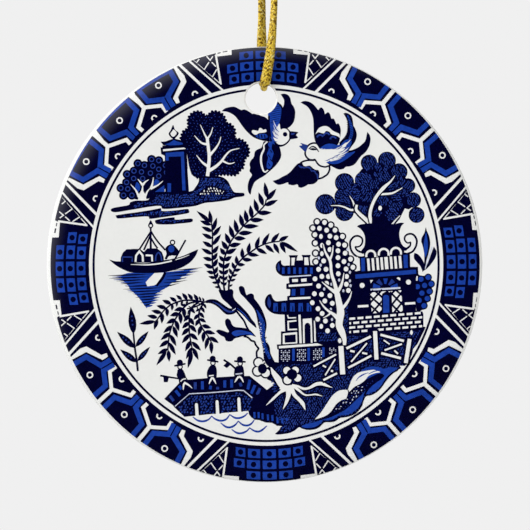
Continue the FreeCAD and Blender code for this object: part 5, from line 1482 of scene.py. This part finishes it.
def draw_pearl_tree(draw):
    """The tall tree of white pearls, each in a navy ring."""
    draw.motif = "pearl_tree"
    pearls = at(8.8, 7.15, 10.05, 7.05, 11.1, 6.6, 8.1, 6.1, 9.2, 6.05, 10.4, 5.75, 11.8, 5.75, 8.45, 5.0,
        9.45, 4.7, 10.95, 4.75, 12.0, 4.5, 13.05, 4.7, 8.5, 3.6, 10.7, 3.65, 12.4, 3.4, 13.4, 3.25,
        9.6, 3.2, 10.95, 2.5, 12.3, 2.3, 13.5, 1.9, 8.55, 1.9, 9.6, 1.8, 12.3, 1.15, 14.4, 0.9, 13.3, 0.5,
        8.6, 0.45, 9.9, 0.6, 12.3, -0.2, 14.8, -0.45, 9.05, -0.8, 10.3, -0.8, 13.65, -0.75, 12.35, -1.55,
        9.6, -2.0, 10.7, -2.0, 13.75, -2.0, 8.45, -2.4, 10.4, -3.15, 13.7, -3.3, 9.05, -3.6, 14.05, -4.35,
        8.35, -4.9, 9.55, -5.0, 10.95, -5.2, 10.1, -6.1, 11.35, -6.5, 8.0, -6.4, 8.95, -7.4, 9.65, -8.2,
        8.9, -9.15, 10.2, -9.45, 9.5, -10.35, 11.35, -10.2, 10.55, -11.1, 12.6, -12.75)
    small = at(12.5, -2.6, 13.2, -4.4, 11.1, -7.5, 14.3, -2.75, 14.4, -3.55, 10.0, -4.1, 14.1, 0.0,
        9.1, 1.1, 11.3, -9.2, 11.2, -3.3, 14.3, -1.3, 9.4, -0.1, 13.9, 2.5)
    draw.blob("navy", 8.2, 6.6, 10.0, 7.3, 12.0, 6.0, 13.3, 4.4, 14.2, 1.6, 15.1, -0.6, 14.9, -4.6,
        12.0, -7.5, 12.6, -10.0, 12.8, -13.2, 8.9, -13.2, 8.6, -9.8, 7.7, -6.4, 8.1, -2.6, 8.6, 0.4,
        9.2, 2.6, 8.3, 4.4)
    for pearl in pearls:
        draw.dot("navy", pearl, 0.66 if pearl[1] > -1.4 else 0.58)
    draw.stipple("violet", at(9.0, -11.3, 12.0, -11.3, 12.3, -12.9, 9.0, -13.0), 0.42, 0.125, 33, 4, 1.9, 50)
    for number, pearl in enumerate(pearls):
        narrow = 0.31 if number in (8, 16, 21, 51, 54, 55) else 0.4
        draw.dot(BARE, pearl, (narrow, 0.42))
    for spot in small:
        draw.dot("pale", spot, (0.2, 0.28), 7)
    draw.branches((
        (at(11.0, -8.2, 10.4, -8.65, 9.8, -8.95), [0.34, 0.1]),
        (at(12.4, -9.1, 11.5, -8.3, 10.6, -7.7, 9.8, -6.9, 9.2, -6.0), [0.8, 0.45, 0.3, 0.12]),
        (at(12.9, -7.4, 13.6, -6.7, 14.3, -5.5, 14.6, -4.5), [0.6, 0.4, 0.1]),
        (at(11.95, -4.7, 11.0, -4.05, 10.3, -3.5, 9.6, -2.9), [0.7, 0.34, 0.12]),
        (at(12.2, -4.6, 12.75, -3.7, 13.1, -2.6, 13.3, -1.4), [0.6, 0.4, 0.1]),
        (at(11.0, 0.9, 11.35, 1.9, 11.5, 3.2), [0.4, 0.12]),
        (at(13.4, -13.5, 13.35, -12.4, 12.9, -11.2, 12.5, -10.2, 12.6, -9.0, 12.75, -8.0, 12.55, -6.8,
        12.3, -5.6, 12.05, -4.4, 11.7, -3.0, 11.35, -2.0, 11.15, -1.0, 11.1, 0.0, 10.9, 0.8, 10.5, 1.5,
        10.1, 2.3, 9.85, 3.4), [0.5, 0.75, 1.1, 1.15, 1.2, 1.3, 1.1, 1.0, 0.9, 0.62, 0.55, 0.5, 0.46, 0.46,
        0.4, 0.3, 0.1])), 0.13)


def draw_right_plants(draw):
    """The berry bush and the leaf sprig at the right."""
    draw.motif = "berry_bush"
    berries = at(26.2, -2.45, 27.4, -2.15, 26.8, -3.5, 27.9, -3.25, 25.6, -3.7, 26.35, -4.8, 27.6, -4.5,
        27.25, -5.7, 25.9, -6.0, 26.7, -6.9)
    draw.blob("navy", 25.4, -2.0, 26.2, -1.9, 27.5, -2.0, 28.1, -3.2, 27.8, -4.9, 27.4, -6.0, 26.8, -7.4,
        26.4, -7.6, 25.4, -7.6)
    for berry in berries:
        draw.dot("navy", berry, 0.64)
    for berry in berries:
        draw.dot("cobalt", berry, 0.44)
    draw.motif = "right_sprig"
    draw.fill("navy", shape(
        at(27.0, 6.25, 26.75, 5.3, 26.3, 4.4, 26.25, 3.8),
        at(26.5, 3.0, 26.75, 1.6, 26.7, 0.0, 26.4, -1.3),
        at(26.9, -0.6, 27.1, 0.6, 27.5, 2.0, 27.75, 3.4, 27.6, 4.6, 27.2, 5.6, 27.0, 6.25)))
    draw.leaf("cobalt", (26.95, 1.2), (27.05, 5.5), 0.7)
    draw.fill("navy", shape(
        at(25.1, 1.95, 25.7, 1.7, 26.3, 1.0, 26.75, 0.0, 26.5, -1.3),
        at(26.1, -0.3, 25.5, 0.4, 25.1, 0.9, 25.0, 1.4, 25.1, 1.95)))
    draw.fill("navy", shape(
        at(28.35, 3.0, 27.9, 1.8, 27.3, 0.2, 26.6, -1.1),
        at(27.4, -0.5, 28.2, 0.5, 28.7, 1.4, 28.8, 2.2, 28.35, 3.0)))
    draw.line("pale", at(28.1, 3.0, 27.5, 1.3, 26.9, -0.7), [0.2, 0.24, 0.12])


def near_drawing():
    """Everything from the willow to the gate house, from the back to the front."""
    draw = Drawing()
    draw_right_plants(draw)
    draw_orange_tree(draw)
    draw_bridge(draw)
    draw_ground(draw)
    draw_gate(draw)
    draw_pagoda(draw)
    draw_fence(draw)
    draw_pearl_tree(draw)
    draw_fronds(draw)
    draw_willow(draw)
    draw_figures(draw)
    return draw


def far_drawing():
    """The swallows, the island, the boat and the sprig at the left."""
    draw = Drawing()
    for motif in (draw_left_swallow, draw_right_swallow, draw_island, draw_boat, draw_sprig):
        motif(draw)
    return draw


# The cord: a flat gold braid, and the knot in it. Heights are above the disc's centre.

CORD_ROUTE = [
    (0.65, -0.10, 62.0),
    (1.25, -0.95, 56.0),
    (1.75, -2.30, 49.0),
    (1.60, -2.85, 42.5),
    (1.20, -2.80, 37.0),
    (0.50, -2.85, 32.3),
    (-0.1, -2.80, 29.6),
    (-0.1, 2.80, 29.6),
    (-0.30, 2.85, 32.3),
    (-0.50, 2.80, 37.2),
    (-0.40, 2.85, 43.0),
    (-0.60, 2.20, 49.5),
    (-0.45, 0.95, 56.2),
    (-0.65, 0.10, 62.0),
]
TAIL_ROUTES = [
    [(0.62, -0.20, 65.6), (0.95, -0.45, 68.5), (1.90, -0.60, 71.0), (3.50, -0.50, 73.5)],
    [(-0.62, 0.20, 65.6), (-0.85, 0.50, 68.3), (-1.50, 0.75, 70.5), (-2.80, 0.70, 72.5)],
]
# How far the flat of the braid is turned from facing along Y, at even steps down the front
# strand, round through the hole and up behind the disc
CORD_TWIST = [150, 120, 72, 74, 66, 34, 12, 0, 0, 40, 48, 62, 90, 120]
HOLE_SQUEEZE = 0.54           # the braid's width where it passes through the hole, as a share
SQUEEZE_DEPTH = 2.25          # how far from the disc's middle plane the squeeze is full
SQUEEZE_EASE = 0.5            # over how much more it eases off
SQUEEZE_REACH = 0.1           # how near the cord's middle it can be, as a share of the cord
CORE_WIDTH, CORE_THICKNESS = 0.72, 0.62      # the braid's core, as shares of the braid
YARN_SIDES, CORE_SIDES = 6, 10
CORD_STEP, KNOT_STEP = 0.1, 0.11             # between the points of a smooth route


def route_points(route):
    """A route, given as (x, y, height above the disc's centre), in millimetres of the frame."""
    return np.array(route, float) + (CENTRE_X, 0.0, CENTRE_Z)


def smooth_route(route, step):
    """Points along the NURBS curve whose control points are the route, step apart."""
    data = bpy.data.curves.new("route", "CURVE")
    data.dimensions = "3D"
    spline = data.splines.new("NURBS")
    points = route_points(route)
    spline.points.add(len(points) - 1)
    spline.points.foreach_set("co", np.column_stack([points, np.ones(len(points))]).ravel())
    spline.order_u = 3
    spline.use_endpoint_u = True
    data.resolution_u = 24
    holder = bpy.data.objects.new("route", data)
    mesh = bpy.data.meshes.new_from_object(holder)
    line = np.zeros(len(mesh.vertices) * 3)
    mesh.vertices.foreach_get("co", line)
    line = line.reshape(-1, 3)
    bpy.data.meshes.remove(mesh)
    bpy.data.objects.remove(holder)
    bpy.data.curves.remove(data)
    return even_steps(line, step)


def even_steps(line, step):
    """A line of points again, with its points about step apart."""
    reach = reach_along(line)
    places = np.linspace(0, reach[-1], max(4, round(reach[-1] / step)) + 1)
    return np.column_stack([np.interp(places, reach, line[:, i]) for i in range(3)])


def carried_axes(path, first_side, twist):
    """Side and lift at each point of a path, both square to it. The side is carried along without
    turning, then turned about the path by twist degrees, which is given at even steps."""
    tangent = unit_rows(np.gradient(path, axis=0))
    side = np.zeros_like(path)
    current = np.array(first_side, float)
    for i, along in enumerate(tangent):
        current = current - along * np.dot(current, along)
        current /= np.linalg.norm(current)
        side[i] = current
    lift = np.cross(tangent, side)
    angle = np.radians(spread_over(len(path), twist))[:, None]
    return side * np.cos(angle) + lift * np.sin(angle), lift * np.cos(angle) - side * np.sin(angle)


def tube_grid(path, across, up, width, thickness, sides):
    """Points of a tube of oval section: path + across * width / 2 * cos a + up * thickness / 2 *
    sin a, for the angle a round it."""
    angle = np.arange(sides) / sides * 2 * math.pi
    width = np.reshape(width, (-1, 1, 1))
    wide = across[:, None] * np.cos(angle)[:, None] * (width / 2)
    high = up[:, None] * np.sin(angle)[:, None] * (thickness / 2)
    return path[:, None] + wide + high


def tube_faces(rings, sides, start):
    """Quads between the rings of a tube, and a closing face at each end, outward."""
    ring = np.arange(rings - 1)[:, None] * sides
    here = np.arange(sides)
    after = (here + 1) % sides
    quads = np.stack([ring + here, ring + after, ring + after + sides, ring + here + sides], axis=-1)
    last = (rings - 1) * sides
    ends = [tuple(here[::-1] + start), tuple(here + last + start)]
    return [tuple(q) for q in quads.reshape(-1, 4) + start], ends


class Tubes:
    """Tubes of oval section gathered into one mesh, in millimetres."""

    def __init__(self):
        self.points = []
        self.faces = []
        self.count = 0

    def add(self, path, across, up, width, thickness, sides):
        """One more tube, closed at both ends, with the section that tube_grid gives."""
        quads, ends = tube_faces(len(path), sides, self.count)
        self.points.append(tube_grid(path, across, up, width, thickness, sides).reshape(-1, 3))
        self.faces.extend(quads + ends)
        self.count += len(path) * sides

    def piece(self, name, material):
        """The mesh object of them all."""
        return mesh_piece(name, np.vstack(self.points) * MM, self.faces, material)


def cord_narrowing(path):
    """How wide the braid is along the cord, as a share: a little less towards the knot, and
    HOLE_SQUEEZE between the disc's faces."""
    share = np.linspace(0, 1, len(path))
    beyond = np.clip((np.abs(path[:, 1]) - SQUEEZE_DEPTH) / SQUEEZE_EASE, 0, 1)
    squeezed = HOLE_SQUEEZE + (1 - HOLE_SQUEEZE) * beyond
    towards_knot = np.interp(share, (0, 0.15, 0.85, 1), (0.7, 1, 1, 0.7))
    return np.where(np.abs(share - 0.5) < SQUEEZE_REACH, squeezed, towards_knot)


def braid(paths, settings, name, material):
    """Flat tubular braid along each (path, first side, twist, width as a share): yarns turn both
    ways round an oval section, at the angle 2 pi s / pitch + 2 pi k / yarns for yarn k, and rise
    and dip by lift * cos(2 pi s yarns / pitch), which takes each over one yarn and under the
    next."""
    tubes = Tubes()
    pitch, yarns = settings.pitch / MM, settings.yarns
    width, thickness = settings.width / MM, settings.thickness / MM
    yarn_wide, yarn_thick = settings.yarn_width / MM, settings.yarn_thickness / MM
    lift = settings.lift / MM
    for path, first_side, twist, narrow in paths:
        across, up = carried_axes(path, first_side, twist)
        s = reach_along(path)
        shrink = spread_over(len(path), narrow)
        for way in (1, -1):
            rise = way * lift * np.cos(2 * math.pi * yarns * s / pitch)
            for k in range(yarns):
                angle = way * 2 * math.pi * s / pitch + 2 * math.pi * k / yarns
                wide = ((width - yarn_thick) / 2 * shrink + rise) * np.cos(angle)
                high = ((thickness - yarn_thick) / 2 + rise) * np.sin(angle)
                line = path + across * wide[:, None] + up * high[:, None]
                ahead = unit_rows(np.gradient(line, axis=0))
                out = across * (np.cos(angle) * thickness)[:, None] + up * (np.sin(angle) * width)[:, None]
                out -= ahead * np.einsum("ij,ij->i", out, ahead)[:, None]
                out = unit_rows(out)
                tubes.add(line, np.cross(ahead, out), -out, yarn_wide, yarn_thick, YARN_SIDES)
        tubes.add(path, across, -up, width * CORE_WIDTH * shrink, thickness * CORE_THICKNESS, CORE_SIDES)
    return tubes.piece(name, material)


KNOT_MIDDLE = 63.8            # its height above the disc's centre
KNOT_WRAP = 1.32              # radius of the middle of the cord where it wraps the knot
KNOT_FLATNESS = 0.92          # the wrap's depth as a share of its width
KNOT_RISE = 2.0               # how much the wrap climbs
KNOT_APART = 0.52             # how far each cord's wrap is above or below the middle
KNOT_LAG = 0.35               # how far the second cord's wrap is turned on, in radians
KNOT_TURN = (-60, 395)        # where the wrap starts and ends, in degrees
KNOT_POINTS = 15
KNOT_IN, KNOT_OUT = (61.3, 62.3), (64.6, 66.0)         # heights where a cord goes in and comes out
KNOT_TUCK, KNOT_EXIT = 0.6, 0.3              # how near the middle it does so, as shares
KNOT_WIDTHS = [0.62, 0.62]                   # the braid's width through the knot, as shares
TAIL_WIDTHS = [0.7, 0.9, 1.0]                # and along a tail
TAIL_TWIST = [20, 60, 80]
FRAY_THREADS = 26
FRAY_LENGTH = (1.0, 1.9)
FRAY_ROOT = 0.5               # how far inside the cut end a thread starts
FRAY_SPREAD, FRAY_BOW = 0.24, 0.2
THREAD_WIDTH, THREAD_THICKNESS = 0.12, 0.05


def knot_paths():
    """Both cords through the overhand knot: each climbs from its strand, wraps the others for
    almost a turn and a third at radius KNOT_WRAP, tucks in and leaves as a tail."""
    paths = []
    for side, strand, tail in ((1, CORD_ROUTE[0], TAIL_ROUTES[0]), (-1, CORD_ROUTE[-1], TAIL_ROUTES[1])):
        start, end = strand[:2], tail[0][:2]
        turn = np.radians(np.linspace(*KNOT_TURN, KNOT_POINTS)) + (0 if side > 0 else KNOT_LAG)
        climb = np.linspace(-1, 1, KNOT_POINTS) * KNOT_RISE / 2
        wrap = np.column_stack([
            KNOT_WRAP * np.cos(turn),
            KNOT_WRAP * KNOT_FLATNESS * np.sin(turn),
            KNOT_MIDDLE + climb + side * KNOT_APART,
        ])
        into = [(*start, KNOT_IN[0]), (start[0] * KNOT_TUCK, start[1], KNOT_IN[1])]
        out = [(end[0] * KNOT_EXIT, end[1], KNOT_OUT[0]), (*end, KNOT_OUT[1])]
        paths.append(into + [tuple(p) for p in wrap] + out)
    return paths


def knot_and_tails(settings, material):
    """The tied knot, and above it the two free ends, which widen as they leave it."""
    paths = [(smooth_route(route, KNOT_STEP), (1, 0, 0), [0, 0], KNOT_WIDTHS) for route in knot_paths()]
    knot = braid(paths, settings, "tied_knot", material)
    tails = [(smooth_route(route, KNOT_STEP), (1, 0, 0), TAIL_TWIST, TAIL_WIDTHS) for route in TAIL_ROUTES]
    return knot, braid(tails, settings, "free_ends", material)


def frayed_tips(material):
    """A tuft at each free end: fine foil threads that leave the cut end and spread."""
    random = np.random.default_rng(5)
    tubes = Tubes()
    for route in TAIL_ROUTES:
        path = route_points(route)
        ahead = path[-1] - path[-2]
        ahead /= np.linalg.norm(ahead)
        for _ in range(FRAY_THREADS):
            spread = random.normal(0, FRAY_SPREAD, 3)
            start = path[-1] - ahead * FRAY_ROOT + spread * 0.8
            bow = random.normal(0, FRAY_BOW, 3)
            length = random.uniform(*FRAY_LENGTH)
            t = np.linspace(0, 1, 6)[:, None]
            line = start + (ahead * length + spread * 1.6) * t + bow * np.sin(math.pi * t / 2) * t
            across, up = carried_axes(line, (0.3, 1, 0.2), [0, 90])
            tubes.add(line, across, up, THREAD_WIDTH, THREAD_THICKNESS, 4)
    return tubes.piece("frayed_tips", material)


# The studio

SENSOR_WIDTH = 36.0
IMAGE_SIDE = 530
ROOM_TOP = (-0.71, 0.0, 0.70)                # which way the room is brightest
KEY_PLACE, KEY_SIZE = (-0.62, -0.42, 0.40), 0.55      # from the middle of the face
FILL_PLACE, FILL_SIZE = (0.66, -0.50, 0.22), 0.5
FLOOR_RISE = 0.03             # how far the floor's edge rises


def studio_world(settings):
    """A plain backdrop to the camera. To everything else the room is dim, a little paler behind
    the ornament, and brightest in a broad soft patch above and to the left of it. With v how
    far a direction points that way, the patch's light is smoothstep((v - 0.15) / 0.6)."""
    world = bpy.data.worlds.new("Studio")
    bpy.context.scene.world = world
    world.use_nodes = True
    tree = world.node_tree
    tree.nodes.clear()
    out = tree.nodes.new("ShaderNodeOutputWorld")
    mix = tree.nodes.new("ShaderNodeMixShader")
    seen = add_node(tree, "ShaderNodeBackground", Color=opaque(settings.backdrop))
    room = add_node(tree, "ShaderNodeBackground", Strength=settings.room_light)
    path = tree.nodes.new("ShaderNodeLightPath")
    place = tree.nodes.new("ShaderNodeTexCoord")
    towards = tree.nodes.new("ShaderNodeVectorMath")
    towards.operation = "DOT_PRODUCT"
    towards.inputs[1].default_value = ROOM_TOP
    axes = tree.nodes.new("ShaderNodeSeparateXYZ")
    behind = add_node(tree, "ShaderNodeMapRange", From_Min=0.1, From_Max=0.9, To_Min=0.0, To_Max=0.3)
    patch = add_node(tree, "ShaderNodeMapRange", From_Min=0.15, From_Max=0.75, To_Min=0.0, To_Max=1.15)
    total = tree.nodes.new("ShaderNodeMath")
    for ramp in (behind, patch):
        ramp.interpolation_type = "SMOOTHSTEP"
    wire(tree,
         (place, "Generated", axes, "Vector"), (place, "Generated", towards, 0),
         (axes, "Y", behind, "Value"), (towards, "Value", patch, "Value"), (behind, "Result", total, 0),
         (patch, "Result", total, 1), (total, 0, room, "Color"), (path, "Is Camera Ray", mix, "Fac"),
         (room, "Background", mix, 1), (seen, "Background", mix, 2), (mix, "Shader", out, "Surface"))


def soft_light(name, place, target, size, power):
    """A square area light at a place, facing a target. It lights the ornament without a hard
    square of it showing in the gloss."""
    data = bpy.data.lights.new(name, "AREA")
    data.size = size
    data.energy = power
    light = bpy.data.objects.new(name, data)
    light.visible_glossy = False
    light.location = place
    light.rotation_euler = (Vector(target) - Vector(place)).to_track_quat("-Z", "Y").to_euler()
    bpy.context.collection.objects.link(light)


def studio_camera(settings, target):
    """A long lens, level with the disc's centre and square to its face."""
    data = bpy.data.cameras.new("Camera")
    data.sensor_width = SENSOR_WIDTH
    data.lens = SENSOR_WIDTH * settings.distance / settings.view_height
    data.clip_start = 0.01
    data.clip_end = 20
    camera = bpy.data.objects.new("Camera", data)
    camera.location = (target[0], target[1] - settings.distance, target[2])
    camera.rotation_euler = (math.pi / 2, 0, 0)
    bpy.context.collection.objects.link(camera)
    bpy.context.scene.camera = camera


def studio_floor(settings, low):
    """A round pale floor under the ornament, with a softly rising edge: height
    FLOOR_RISE * (r / R) ** 8 at radius r, out to R."""
    material, tree, shader = new_material("Pale floor")
    tint = place_group(
        tree, shared_group("Clouded Tint", tint_group), Colour_A=(0.78, 0.78, 0.775, 1),
        Colour_B=(0.82, 0.82, 0.815, 1), Cloud_Scale=9.0, Grain=420.0,
    )
    tree.links.new(tint.outputs["Colour"], shader.inputs["Base Color"])
    shader.inputs["Roughness"].default_value = 0.75
    rings, sides = 14, 96
    radius = settings.floor_radius * np.linspace(0.02, 1, rings)
    angle = np.arange(sides) / sides * 2 * math.pi
    grid = np.stack([radius[:, None] * np.cos(angle), radius[:, None] * np.sin(angle),
        np.broadcast_to((low - settings.floor_drop + FLOOR_RISE * (radius / radius[-1]) ** 8)[:, None],
        (rings, sides))], axis=-1)
    quads, _ = tube_faces(rings, sides, 0)
    centre = tuple(np.arange(sides)[::-1])
    floor = mesh_piece("floor", grid.reshape(-1, 3), [q[::-1] for q in quads] + [centre[::-1]], material)
    floor.visible_glossy = False


# The operators, the panel and the run


class ORNAMENT_OT_stage(bpy.types.Operator):
    """Set the studio: floor, room, lights and camera"""

    bl_idname = "ornament.stage"
    bl_label = "Set the studio"

    def execute(self, context):
        settings = context.scene.ornament_stage
        face = Vector((CENTRE_X * MM, FRONT * MM, CENTRE_Z * MM))
        scene = context.scene
        scene.view_settings.view_transform = "Standard"
        scene.view_settings.look = "None"
        studio_world(settings)
        studio_floor(settings, DISC_LOW[2] * MM)
        nudge = settings.view_height / IMAGE_SIDE / 2
        studio_camera(settings, face + Vector((nudge, 0, -nudge)))
        soft_light("Key", face + Vector(KEY_PLACE), face, KEY_SIZE, settings.key_power)
        soft_light("Fill", face + Vector(FILL_PLACE), face, FILL_SIZE, settings.fill_power)
        return {"FINISHED"}


class ORNAMENT_OT_cord(bpy.types.Operator):
    """Braid the gold cord along its route, through the hole in the disc"""

    bl_idname = "ornament.cord"
    bl_label = "Braid the cord"

    def execute(self, context):
        settings = context.scene.ornament_cord
        material = bpy.data.materials.get("Gold foil yarn") or gold_yarn_material(settings)
        path = smooth_route(CORD_ROUTE, CORD_STEP)
        cord = braid([(path, (1, 0, 0), CORD_TWIST, cord_narrowing(path))], settings, "gold_cord", material)
        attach(cord, LOOP)
        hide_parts("hanging_cord")
        knot, ends = knot_and_tails(settings, material)
        tips = frayed_tips(material)
        for piece in (knot, ends, tips):
            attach(piece, LOOP)
        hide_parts("cord_knot")
        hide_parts("cord_tails")
        return {"FINISHED"}


class ORNAMENT_OT_glaze(bpy.types.Operator):
    """Glaze the disc white and give its face the glossy coat"""

    bl_idname = "ornament.glaze"
    bl_label = "Glaze the disc"

    def execute(self, context):
        glaze = context.scene.ornament_glaze
        inks = context.scene.ornament_print
        body = glossy_coat_material("White fired glaze", glaze.white, 0.03, glaze.roughness, speckle=0.5)
        coat = glossy_coat_material("White printing coat", inks.ground, 0.012, 0.12)
        for node, material in (("porcelain_disc", body), ("printed_face", coat)):
            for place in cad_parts[node].material_slots:
                place.material = material
        return {"FINISHED"}


class ORNAMENT_OT_border(bpy.types.Operator):
    """Print the border of cells, lattice and hexagons"""

    bl_idname = "ornament.border"
    bl_label = "Print the border"

    def execute(self, context):
        edge = arc(PRINT_MIDDLE, PRINT_EDGE, steps=360)
        print_drawing(border_drawing(), context.scene.ornament_print, edge)
        return {"FINISHED"}


class ORNAMENT_OT_picture(bpy.types.Operator):
    """Print the picture inside the ring"""

    bl_idname = "ornament.picture"
    bl_label = "Print the picture"

    def execute(self, context):
        for drawing in (far_drawing(), near_drawing()):
            print_drawing(drawing, context.scene.ornament_print, arc((0, 0), BORDER_START, steps=240))
        return {"FINISHED"}


class ORNAMENT_PT_panel(bpy.types.Panel):
    """Lists the steps that make the ornament, and the sizes and colours that they use"""

    bl_idname = "ORNAMENT_PT_panel"
    bl_label = "Porcelain ornament"
    bl_space_type = "VIEW_3D"
    bl_region_type = "UI"
    bl_category = "Ornament"

    def draw(self, context):
        for operator in OPERATORS:
            self.layout.operator(operator.bl_idname)
        for name, group in SETTINGS.items():
            box = self.layout.box()
            for field in group.__annotations__:
                box.prop(getattr(context.scene, name), field)


SETTINGS = {
    "ornament_stage": StageSettings,
    "ornament_cord": CordSettings,
    "ornament_glaze": GlazeSettings,
    "ornament_print": PrintSettings,
}
OPERATORS = (
    ORNAMENT_OT_stage,
    ORNAMENT_OT_cord,
    ORNAMENT_OT_glaze,
    ORNAMENT_OT_border,
    ORNAMENT_OT_picture,
)
CLASSES = (*SETTINGS.values(), *OPERATORS, ORNAMENT_PT_panel)


def register():
    """Make the classes and their settings known to Blender."""
    for item in CLASSES:
        bpy.utils.register_class(item)
    for name, group in SETTINGS.items():
        setattr(bpy.types.Scene, name, bpy.props.PointerProperty(type=group))


def unregister():
    """Take the settings and the classes away again."""
    for name in SETTINGS:
        delattr(bpy.types.Scene, name)
    for item in reversed(CLASSES):
        bpy.utils.unregister_class(item)


def main():
    """Run every operator in order."""
    register()
    for operator in OPERATORS:
        group, name = operator.bl_idname.split(".")
        getattr(getattr(bpy.ops, group), name)()


if __name__ == "__main__":
    main()
